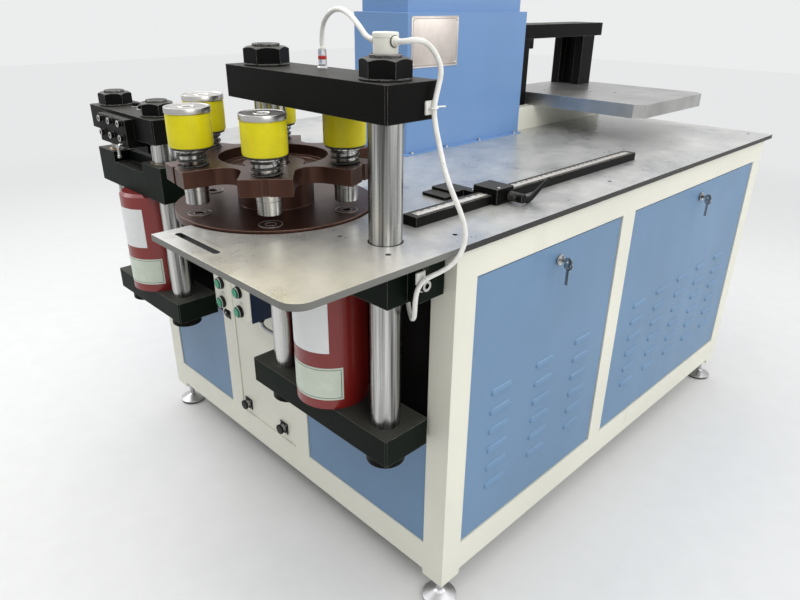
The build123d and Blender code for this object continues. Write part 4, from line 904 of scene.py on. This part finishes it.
ARCH = [
    (-46, 302, 1209), (-46, 302, 1238), (-54, 276, 1262), (-64, 236, 1274), (-73, 196, 1268),
    (-78, 164, 1249), (-79, 142, 1229), (-79, 121, 1229),
]
DROP = [
    (-79, 81, 1229), (-79, 63, 1229), (-66, 48, 1233), (-46, 43, 1228), (-27, 40, 1210), (-17, 37, 1186),
    (-24, 38, 1160), (-33, 38, 1130), (-33, 32, 1100), (-33, 21, 1068), (-37, 6, 1036), (-34, -9, 1003),
    (-23, -20, 970), (-13, -25, 938), (-13, -25, 912), (-22, -22, 890), (-34, -13, 873), (-46, -2, 863),
    (-59, 7, 856), (-73, 13, 850), (-83, 17, 836), (-86, 19, 815), (-81, 24, 793), (-72, 34, 771),
    (-60, 50, 757), (-47, 68, 757), (-39, 81, 768), (-38, 84, 782), (-38, 84, 796),
]


def smooth_line(name, route):
    """The line of a NURBS curve through a route's control points."""
    data = bpy.data.curves.new(name, "CURVE")
    data.dimensions = "3D"
    data.resolution_u = 10
    spline = data.splines.new("NURBS")
    spline.points.add(len(route) - 1)
    for point, place in zip(spline.points, route):
        point.co = (*place, 1.0)
    spline.order_u = 3
    spline.use_endpoint_u = True
    holder = bpy.data.objects.new(name, data)
    bpy.context.scene.collection.objects.link(holder)
    bpy.context.view_layer.update()
    line = bpy.data.meshes.new_from_object(holder.evaluated_get(bpy.context.evaluated_depsgraph_get()))
    points = [vertex.co.copy() for vertex in line.vertices]
    bpy.data.objects.remove(holder)
    bpy.data.meshes.remove(line)
    return points


class Cable(bpy.types.Operator):
    """Run the white cable from the sensor over the junction box down to the fixed block"""

    bl_idname = "machine.cable"
    bl_label = "Sensor cable"

    def execute(self, context):
        for name, route, length in (("cable_arch", ARCH, 0.232), ("cable_drop", DROP, 0.68)):
            line = smooth_line(name, [at(*point) for point in route])
            body = "press" if name == "cable_arch" else None
            piece = Form().rod(line, CABLE_RADIUS, 14).finish(name, body, "white_plastic", "braided_white")
            if not body:
                at(-33, 38, 1130)
                at(-33, 38, 865)
                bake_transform(piece)
            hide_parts("sensor_cable")
        return {"FINISHED"}


class SensorSet(bpy.types.Operator):
    """Make the clear sensor, the junction box, its glands and the cable's two tie mounts"""

    bl_idname = "machine.sensor_set"
    bl_label = "Sensor and junction box"

    def execute(self, context):
        base = at(-46, 302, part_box("press_beam")[1].z * 1000)
        form = Form()
        form.turn([(0, 0), (10, 0), (10, 3.5), (9, 4.5), (7.4, 5), (7.4, 9), (0, 9)], base)
        form.paint(1).turn([(0, 8.6), (7.3, 8.6), (7.5, 9.5), (7.5, 33), (6.8, 34.5), (0, 34.5)], base)
        form.paint(2).turn([(0, 17), (7.7, 17), (7.8, 17.6), (7.8, 22.4), (7.7, 23), (0, 23)], base)
        form.paint(3).turn([(0, 34), (6.6, 34), (6.6, 36.2), (5.2, 38), (0, 38)], base)
        low = at(-99, 81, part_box("press_columns")[1].z * 1000)
        tall = (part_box("beam_sensor")[1].z - low.z) * 1000
        form.paint(3).turn(
            [(0, 0), (20, 0), (20, tall - 8), (20.8, tall - 7.4), (20.8, tall - 1.6), (19.2, tall),
             (0, tall)],
            low + Vector((0.02, 0.02, 0)), steps=56,
        )
        for side, y in ((1, 121), (-1, 81)):
            form.paint(3).turn(
                [(0, 0), (8.2, 0), (8.2, 2.5), (7.0, 3.2), (6.0, 8), (0, 8)],
                at(-79, y, 1229), (0, side, 0), 24,
            )
            form.paint(4).drum(9.2, -0.2, 0.8, at(-79, y, 1229), (0, side, 0), 24)
        for dx, dy in ((9, 9), (31, 31)):
            form.paint(0)
            cap_screw(form, low + Vector((dx, dy, tall)) / 1000, UP, 2.2, 0.5)
        piece = form.finish(
            "sensor_and_box", "press", "white_plastic",
            "zinc_steel", "clear_plastic", "red_plastic", "white_plastic", "black_plastic",
        )
        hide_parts("beam_sensor")
        for name, body, spot, tilt, deep in (
            ("tie_mount_beam", "press", at(-33, 47.6, 1130), 0.0, 0.0096),
            ("tie_mount_block", "cabinet", at(-70, 24.6, 851), 80.0, 0.0116),
        ):
            mount = Form()
            mount.block(spot + Vector((-0.011, -0.004, -0.011)), spot + Vector((0.011, 0.0003, 0.011)), 1.2)
            angle = math.radians(tilt)
            along = Vector((math.sin(angle), 0, math.cos(angle)))
            centre = spot - Vector((0, deep, 0))
            deeper = Vector((0, 1, 0))
            loop = [
                centre + (along.cross(deeper) * math.cos(a) + deeper * math.sin(a)) * 0.0062
                for a in (2 * math.pi * k / 20 for k in range(21))
            ]
            mount.paint(1).rod(loop, 1.3, 6)
            heel = centre + Vector((0.0062, -0.001, 0.001))
            mount.block(heel - Vector((0.0022, 0.0025, 0.0025)), heel + Vector((0.0022, 0.0025, 0.0025)), 0.5)
            tail = (0.009, -0.001, 0.0004), (0.018, -0.0035, 0.0)
            mount.rod([heel, *(heel + Vector(step) for step in tail)], 1.4, 6, 0.4)
            mount.finish(name, body, "white_plastic", "white_plastic", "tie_white")
        return {"FINISHED"}


class Louvres(bpy.types.Operator):
    """Press the rounded hoods of the louvres over the vents in both doors"""

    bl_idname = "machine.louvres"
    bl_label = "Door louvres"

    def execute(self, context):
        for door, columns, pitch in (("short_door", 3, 163), ("long_door", 5, 136)):
            low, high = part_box(door)
            form = Form()
            for column in range(columns):
                x = (low.x + high.x) / 2 + pitch * (column - (columns - 1) / 2) / 1000
                for row in range(LOUVRE_ROWS):
                    self.hood(form, Vector((x, low.y + 0.005, FIRST_LOUVRE + LOUVRE_STEP * row)))
            form.finish(f"{door}_louvres", door, "door_blue", "door_blue", "black_plastic", angle=50)
        return {"FINISHED"}

    def hood(self, form, place):
        """Adds one hood: full in the middle, rounded down to the sheet at its ends, its underside painted
        dark as shade and a dark dot at its left end painted as shadow.
        """
        reach, rounding, height, depth = 29.0, 7.0, 11.8, 5.5
        spots = [-reach - rounding * math.cos(math.radians(15 * k)) for k in range(7)]
        spots = spots + [-spot for spot in reversed(spots)]
        tops, painted_shade_unders = [], []
        for spot in spots:
            past = max(0.0, abs(spot) - reach) / rounding
            full = math.sqrt(max(0.0, 1 - past * past))
            out, rise = depth * full, height * (0.35 + 0.65 * full)
            profile = [
                (0.1, rise + 0.5), (-out * 0.22, rise), (-out * 0.62, rise * 0.5), (-out * 0.92, rise * 0.16),
                (-out, rise * 0.04), (-out, -0.3),
            ]
            tops.append([place + Vector((spot, y - 0.05, z)) / 1000 for y, z in profile])
            painted_shade_unders.append([
                place + Vector((spot, y, -0.3)) / 1000 for y in (-out - 0.05, -out * 0.8 - 0.05, 0.1)
            ])
        form.paint(0).loft(tops, open_rings=True)
        # Painted shade: the underside is dark for the shade in the hood's opening.
        form.paint(1).loft(painted_shade_unders, open_rings=True)
        # Painted shadow: a small dark dot at the left end, for the shadow in the end gap.
        form.turn([(0, 0), (2.2, 0), (1.9, 0.5), (0, 0.6)], place + Vector((-0.0335, 0, 0)), FRONT, 12)


class ButtonPlates(bpy.types.Operator):
    """Put two front plates, bezels, blank legends and a conduit elbow on the button box"""

    bl_idname = "machine.button_plates"
    bl_label = "Button plates"

    def execute(self, context):
        form = Form()
        for near, far in ((594.6, 678.4), (679.6, 763.4)):
            form.paint(0).block(at(-68.4, near, 550.6), at(-66.9, far, 699.4), 0.6)
            form.paint(2).block(
                at(-68.9, (near + far) / 2 - 7, 592), at(-68.2, (near + far) / 2 + 7, 597), 0.2
            )
            for y in (near + 5, far - 5):
                for z in (556, 694):
                    form.paint(1).turn(
                        [(0, 0), (2.6, 0), (2.2, 0.8), (0, 1.1)], at(BUTTON_FACE, y, z), LEFT, 14
                    )
        for k in range(1, 5):
            centre = middle(f"button_{k}")
            spot = Vector((at(BUTTON_FACE, 0, 0).x, centre.y, centre.z))
            form.paint(2).turn(
                [(11.3, -1), (16.4, -1), (16.4, 1.4), (15.6, 2.2), (15.3, 8.6), (14.4, 9.4), (12.0, 9.4),
                 (11.3, 8.6)],
                spot, LEFT, 40, closed=True,
            )
            form.paint(1).turn(
                [(14.2, 8.9), (15.2, 8.9), (14.9, 9.9), (14.1, 9.9)], spot, LEFT, 40, closed=True
            )
        form.finish(
            "button_plates", "cabinet", "cream_paint", "cream_paint", "zinc_steel", "black_plastic"
        )
        for k in range(1, 5):
            low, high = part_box(f"button_{k}")
            cap = Form()
            cap.turn(
                [(0, 0), (10.6, 0), (10.8, 1.2), (10.2, 2.0), (8.2, 2.2), (0, 1.7)],
                Vector((low.x + 0.0012, (low.y + high.y) / 2, (low.z + high.z) / 2)), LEFT, 36,
            )
            cap.finish(f"button_cap_{k}", f"button_{k}", "green_plastic", "green_plastic")
        elbow = Form()
        elbow.paint(0).turn(
            [(0, 0), (10, 0), (10, 3), (8.2, 3.6), (8.2, 9), (6.4, 12), (0, 12)],
            at(-30, 612, 550), (0, 0, -1), 24,
        )
        elbow.paint(1).rod(
            [at(*p) for p in (
                (-30, 612, 543), (-30, 612, 534), (-30, 607, 526), (-29, 596, 522), (-26, 572, 519),
                (-20, 548, 516), (-12, 534, 513), (-2, 528, 512), (4, 527, 512),
            )],
            5.0, 14,
        )
        elbow.finish("conduit_elbow", "cabinet", "zinc_steel", "black_plastic", "galvanised")
        return {"FINISHED"}


class Sockets(bpy.types.Operator):
    """Make the two capped plug sockets and the small latch on the access cover"""

    bl_idname = "machine.sockets"
    bl_label = "Plug sockets"

    def execute(self, context):
        low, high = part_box("cover_sockets")
        form = Form()
        for y, z in ((high.y - 0.017, low.z + 0.017), (low.y + 0.017, high.z - 0.017)):
            face = Vector((CORNER.x + 0.003, y, z))
            form.paint(0)
            form.block(face + Vector((-0.004, -0.017, -0.017)), face + Vector((0, 0.017, 0.017)), 1.6)
            form.drum(10.6, 0, 20, face, (1, 0, 0), 24)
            form.paint(1).drum(9.8, 4, 13, face, LEFT, 28)
            ribs = []
            for k in range(5):
                ribs += [(13.2, 12.6 + k * 1.4), (13.9, 13.2 + k * 1.4)]
            form.paint(0).turn(
                [(0, 12.2), (12.6, 12.2), *ribs, (13.2, 18.2), (12.2, 19), (0, 19)], face, LEFT, 32
            )
            form.paint(1)
            for dy, dz in ((13, 13), (-13, 13), (13, -13), (-13, -13)):
                spot = face + Vector((-0.004, dy / 1000, dz / 1000))
                form.turn([(0, 0), (2.0, 0), (1.6, 0.6), (0, 0.9)], spot, LEFT, 12)
        piece = form.finish(
            "cover_sockets_capped", "cabinet", "black_plastic", "black_plastic", "bright_steel"
        )
        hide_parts("cover_sockets")
        latch = Form()
        latch.block(at(-1, 820, 458), at(3.2, 848, 496), 1.0)
        latch.turn([(0, 0), (10, 0), (10, 6), (8.6, 7.4), (0, 7.4)], at(-0.8, 834, 478), LEFT, 32)
        latch.paint(1).turn([(0, 0), (3.4, 0), (3.0, 0.8), (0, 1.1)], at(-8.2, 834, 478), LEFT, 16)
        latch.finish("cover_latch", "cabinet", "black_plastic", "black_plastic", "bright_steel")
        return {"FINISHED"}


class KeyRings(bpy.types.Operator):
    """Thread a split ring through each lock's keys and give the lock a bright rim"""

    bl_idname = "machine.key_rings"
    bl_label = "Key rings"

    def execute(self, context):
        for lock, x in (("short_lock", 344), ("long_lock", 1076)):
            form = Form()
            centre = at(x + 1, -20, 774)
            ring = [
                centre + Vector((0.0011 * math.sin(a), 0.0075 * math.sin(a), 0.0075 * math.cos(a)))
                for a in (2 * math.pi * k / 32 for k in range(33))
            ]
            form.rod(ring, 0.9, 8)
            form.ring(10.6, 12.2, 4.4, 5.6, at(x, 3, 781), FRONT, 40)
            form.finish(f"{lock}_ring", lock, "chromed_steel", "bright_steel")
        return {"FINISHED"}


class HousingDressing(bpy.types.Operator):
    """Fix the blank nameplate and the flange bolts on the control housing"""

    bl_idname = "machine.housing_dressing"
    bl_label = "Housing plate and bolts"

    def execute(self, context):
        thickness = sizes().plate_thickness * 1000
        face = 568 - thickness
        form = Form()
        form.block(at(454, face, 1123), at(636, 568.2, 1249), 0.3)
        form.border(at(454.2, face - 0.4, 1123.2), at(635.8, face, 1248.8), 2.2, 0.6, "y")
        form.paint(1).border(at(459, face - 0.35, 1128), at(631, face, 1244), 1.3, 0.5, "y")
        for x in (462, 628):
            for z in (1131, 1241):
                form.paint(2).turn(
                    [(0, 0), (3.4, 0), (2.8, 1.0), (1.4, 1.7), (0, 1.9)], at(x, face, z), FRONT, 20
                )
        form.finish("nameplate", "cabinet", "zinc_steel", "blank_plate", "plate_border", "bright_steel")
        bolts = Form()
        for x in (457, 598, 747, 922):
            washer(bolts, at(x, 561, 903), UP, 6.5, 0.8)
            cap_screw(bolts, at(x, 561, 903.8), UP, 4.2, 3.6)
        bolts.finish("flange_bolts", "cabinet", "zinc_steel", "bright_steel")
        return {"FINISHED"}


class CylinderPlates(bpy.types.Operator):
    """Lay two blank plates round each pull cylinder"""

    bl_idname = "machine.cylinder_plates"
    bl_label = "Cylinder plates"

    def execute(self, context):
        for yoke, floor, lower, upper in (("press", 517, -181, -171), ("cutter", 528, -177, -172)):
            centre = middle(f"{yoke}_cylinder")
            form = Form()
            form.wrap(centre, CYLINDER_FACE, lower, 69, floor + 22, floor + 97, 0.6)
            form.paint(1)
            for low, high in ((floor + 26, floor + 27.2), (floor + 91.8, floor + 93)):
                form.wrap(centre, 77.5, lower, 66, low, high, 0.75)
            for side in (-65.6, 65.6):
                form.wrap(centre, 77.5, lower + side, 0.45, floor + 26, floor + 93, 0.75)
            form.paint(2).wrap(centre, CYLINDER_FACE, upper, 39, floor + 131, floor + 240, 0.5)
            form.finish(
                f"{yoke}_cylinder_plates", yoke, "white_plastic", "pale_label", "label_line", "white_label"
            )
        return {"FINISHED"}


class StationBolts(bpy.types.Operator):
    """Add the block's bolts, the cutter beam's screws, the blade screws' rims and the portal shoulder"""

    bl_idname = "machine.station_bolts"
    bl_label = "Station bolts"

    def execute(self, context):
        form = Form()
        form.paint(1)
        washer(form, at(-63, 25, 836), FRONT, 14.5, 2.5)
        form.paint(0)
        cap_screw(form, at(-63, 22.5, 836), FRONT, 10.5, 9.5)
        form.paint(1)
        form.ring(5.4, 10.0, 9.4, 9.9, at(-63, 22.5, 836), FRONT, 28)
        washer(form, at(-57, 25, 867), FRONT, 6.2, 0.8)
        form.paint(0)
        cap_screw(form, at(-57, 24.2, 867), FRONT, 5.0, 4.5)
        form.finish("block_bolts", "cabinet", "black_steel", "black_steel", "bright_steel")

        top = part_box("cutter_beam")[1].z * 1000
        form = Form()
        for x, y in ((-64, 1054), (-54, 1110)):
            form.paint(1)
            washer(form, at(x, y, top), UP, 13.5, 1.6)
            form.paint(0)
            cap_screw(form, at(x, y, top + 1.6), UP, 9.0, 9.0)
        for y in (996, 1054, 1112):
            for z in (961, 997):
                spot = at(-159, y, z)
                form.paint(1).turn(
                    [(5.0, -0.6), (8.2, -0.6), (8.2, 0.3), (7.4, 0.5), (5.0, 0.5)], spot, LEFT, 28,
                    closed=True,
                )
                form.paint(0).drum(5.0, -0.4, 0.1, spot, LEFT, 6)
        form.paint(1).rod(
            [at(*p) for p in ((-150, 1002, 944), (-157, 1002, 944), (-161, 1002, 941), (-163, 1002, 935),
                              (-163, 1002, 920), (-163, 1002, 914))],
            4.0, 12,
        )
        form.paint(1).drum(5.6, 0, 6, at(-163, 1002, 912), UP, 6)
        form.finish("cutter_screws", "cutter", "black_steel", "black_steel", "bright_steel")

        form = Form()
        form.block(at(1051, 620, 1146), at(1074, 736, 1176.5), 0.8)
        form.finish("portal_shoulder", "cabinet", "black_steel", "black_steel")
        return {"FINISHED"}


class GaugeDressing(bpy.types.Operator):
    """Lay the marked strip and its centimetre numbers in the gauge bar and forge the clamp lever"""

    bl_idname = "machine.gauge_dressing"
    bl_label = "Gauge strip and lever"

    def execute(self, context):
        low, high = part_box("gauge_bar")
        strip = Form()
        strip.block(
            Vector((low.x + 0.0142, low.y + 0.0082, high.z - 0.0012)),
            Vector((high.x - 0.0142, high.y - 0.0082, high.z - 0.0002)), 0.2,
        )
        strip.finish("gauge_strip", "cabinet", "zinc_steel", "scale_strip")
        numbers = Form()
        for mark in range(2, 83, 2):
            self.number(numbers, str(mark), Vector((low.x + mark / 100, low.y + 0.0205, high.z - 0.00022)))
        numbers.finish("gauge_numbers", "cabinet", "black_plastic", "black_plastic")

        screw = Form()
        cap_screw(screw, at(256, 178, 914.6), UP, 3.6, 2.4)
        cap_screw(screw, at(256, 244, 914.6), UP, 3.6, 2.4)
        cap_screw(screw, at(250, 107, 934), UP, 3.2, 1.8)
        screw.finish("slider_screws", "gauge_slider", "zinc_steel", "bright_steel")

        lever = Form()
        hub = [(0, 0), (9.4, 0), (10, 1), (10, 14)]
        for k in range(7):
            hub += [(9.2, 14.8 + 3 * k), (10.2, 16.4 + 3 * k)]
        lever.turn([*hub, (9, 37.2), (4.9, 37.2), (4.9, 50), (0, 50)], at(278, 62, 915), (0, 1, 0), 36)
        lever.rod(
            [at(*p) for p in (
                (276, 69, 915.4), (284, 69, 913.0), (294, 69, 909.8), (301, 69, 908.0), (308, 69, 908.0),
                (316, 69, 910.6), (330, 69, 917.6), (346, 69, 925.6), (362, 69, 933.6), (374, 69, 939.6),
                (378, 69, 941.8),
            )],
            [7.6, 7.6, 7.6, 7.6, 7.4, 7.0, 6.2, 5.4, 4.7, 4.2, 2.6], 16, 0.72,
        )
        piece = lever.finish("clamp_lever_forged", "clamp_lever", "black_steel", "black_steel", angle=40)
        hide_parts("clamp_lever")
        return {"FINISHED"}

    def number(self, form, text, place):
        """Cuts one number of the scale as thin raised figures."""
        data = bpy.data.curves.new("figure", "FONT")
        data.body = text
        data.size = 0.012
        data.align_x = "CENTER"
        data.extrude = 0.00012
        data.resolution_u = 2
        holder = bpy.data.objects.new("figure", data)
        bpy.context.scene.collection.objects.link(holder)
        bpy.context.view_layer.update()
        flat = bpy.data.meshes.new_from_object(holder.evaluated_get(bpy.context.evaluated_depsgraph_get()))
        flat.transform(Matrix.Translation(place))
        before = len(form.mesh.faces)
        form.mesh.from_mesh(flat)
        form.mark(before)
        bpy.data.objects.remove(holder)
        bpy.data.meshes.remove(flat)


class Stage(bpy.types.Operator):
    """Set the pale floor, the soft studio light and the camera"""

    bl_idname = "machine.stage"
    bl_label = "Stage"

    def execute(self, context):
        scene = bpy.context.scene
        scene.view_settings.view_transform = "Standard"
        floor = bpy.data.meshes.new("floor")
        corners = [(x * FLOOR_REACH, y * FLOOR_REACH, 0) for x, y in ((-1, -1), (1, -1), (1, 1), (-1, 1))]
        floor.from_pydata(corners, [], [(0, 1, 2, 3)])
        ground_plane = bpy.data.objects.new("floor", floor)
        scene.collection.objects.link(ground_plane)
        finish = Finish("pale_floor", (0.72, 0.72, 0.715), roughness=0.6)
        speckle = finish.noise(14.0, 4.0)
        finish.set("Base Color", finish.blend(speckle, (0.69, 0.69, 0.685), (0.75, 0.75, 0.745)))
        rays = [finish.node("LightPath", output=ray) for ray in SHOWN_RAYS]
        shown = rays[0].math("MAXIMUM", rays[1]).math("MAXIMUM", rays[2])
        away = finish.node("VectorMath", {"operation": "LENGTH"}, {0: finish.place()}, output="Value")
        pale = finish.node("Emission", inputs={"Color": (0.80, 0.805, 0.81, 1.0)})
        mixed = finish.node("MixShader", inputs={0: shown * finish.ramp(away, *FLOOR_FADE)})
        finish.tree.links.new(finish.shader.outputs[0], mixed.socket.node.inputs[1])
        finish.tree.links.new(pale.socket, mixed.socket.node.inputs[2])
        finish.tree.links.new(mixed.socket, finish.tree.nodes["Material Output"].inputs["Surface"])
        floor.materials.append(finish.material)

        world = bpy.data.worlds.new("studio")
        scene.world = world
        world.use_nodes = True
        tree = world.node_tree
        light = tree.nodes["Background"]
        light.inputs["Color"].default_value = (0.86, 0.88, 0.90, 1.0)
        light.inputs["Strength"].default_value = 0.4
        shown = tree.nodes.new("ShaderNodeBackground")
        shown.inputs["Color"].default_value = (0.84, 0.845, 0.85, 1.0)
        path = tree.nodes.new("ShaderNodeLightPath")
        seen = path.outputs[SHOWN_RAYS[0]]
        for ray in SHOWN_RAYS[1:]:
            either = tree.nodes.new("ShaderNodeMath")
            either.operation = "MAXIMUM"
            tree.links.new(seen, either.inputs[0])
            tree.links.new(path.outputs[ray], either.inputs[1])
            seen = either.outputs[0]
        mixed = tree.nodes.new("ShaderNodeMixShader")
        tree.links.new(seen, mixed.inputs["Fac"])
        tree.links.new(light.outputs[0], mixed.inputs[1])
        tree.links.new(shown.outputs[0], mixed.inputs[2])
        tree.links.new(mixed.outputs[0], tree.nodes["World Output"].inputs["Surface"])

        for name, place, aim, size, power in (
            ("window_light", (-1.2, 3.6, 3.6), (0, 0, 0.8), (4.5, 2.0), 110),
            ("key_light", (-1.6, -4.2, 3.4), (-0.2, 0, 0.6), (2.6, 2.6), 80),
            ("side_light", (3.0, -3.4, 2.6), (0.2, 0, 0.6), (3.0, 2.0), 60),
            ("top_light", (-0.2, 0.0, 4.2), (-0.2, 0, 0), (6.5, 5.5), 165),
        ):
            data = bpy.data.lights.new(name, "AREA")
            data.shape = "RECTANGLE"
            data.size, data.size_y = size
            data.energy = power
            lamp = bpy.data.objects.new(name, data)
            scene.collection.objects.link(lamp)
            lamp.location = place
            lamp.rotation_euler = (Vector(aim) - Vector(place)).to_track_quat("-Z", "Y").to_euler()

        azimuth, elevation, roll = (math.radians(v) for v in CAMERA_ANGLES)
        back = Vector((
            math.sin(azimuth) * math.cos(elevation), -math.cos(azimuth) * math.cos(elevation),
            math.sin(elevation),
        ))
        right = (-back).cross(Vector(UP)).normalized()
        up = right.cross(-back)
        tilted = right * math.cos(roll) + up * math.sin(roll)
        upright = up * math.cos(roll) - right * math.sin(roll)
        data = bpy.data.cameras.new("photo_camera")
        data.lens = CAMERA_LENS
        data.sensor_width = 36.0
        camera = bpy.data.objects.new("photo_camera", data)
        scene.collection.objects.link(camera)
        turn = Matrix((tilted, upright, back)).transposed().to_4x4()
        camera.matrix_world = Matrix.Translation(CAMERA_PLACE) @ turn
        scene.camera = camera
        return {"FINISHED"}


class DressingPanel(bpy.types.Panel):
    """Lists the dressing's operators in the sidebar"""

    bl_idname = "VIEW3D_PT_busbar_dressing"
    bl_label = "Busbar machine"
    bl_space_type = "VIEW_3D"
    bl_region_type = "UI"
    bl_category = "Busbar"

    def draw(self, context):
        for group in (colours(), sizes()):
            for name in group.__annotations__:
                self.layout.prop(group, name)
        for operator in OPERATORS:
            self.layout.operator(operator.bl_idname)


OPERATORS = (
    Stage, CadFinishes, Cable, SensorSet, Punches, DieRims, Springs, YokeNuts, Louvres, ButtonPlates, Sockets,
    KeyRings, HousingDressing, CylinderPlates, StationBolts, GaugeDressing,
)
CLASSES = (MachineColours, MachineSizes, *OPERATORS, DressingPanel)


def register():
    """Registers the classes and their settings."""
    for kind in CLASSES:
        bpy.utils.register_class(kind)
    bpy.types.Scene.machine_colours = bpy.props.PointerProperty(type=MachineColours)
    bpy.types.Scene.machine_sizes = bpy.props.PointerProperty(type=MachineSizes)


def unregister():
    """Removes the settings and the classes."""
    del bpy.types.Scene.machine_sizes
    del bpy.types.Scene.machine_colours
    for kind in reversed(CLASSES):
        bpy.utils.unregister_class(kind)


def main():
    """Dresses the machine, one group of pieces after another."""
    register()
    for operator in OPERATORS:
        group, name = operator.bl_idname.split(".")
        getattr(getattr(bpy.ops, group), name)()


if __name__ == "__main__":
    main()
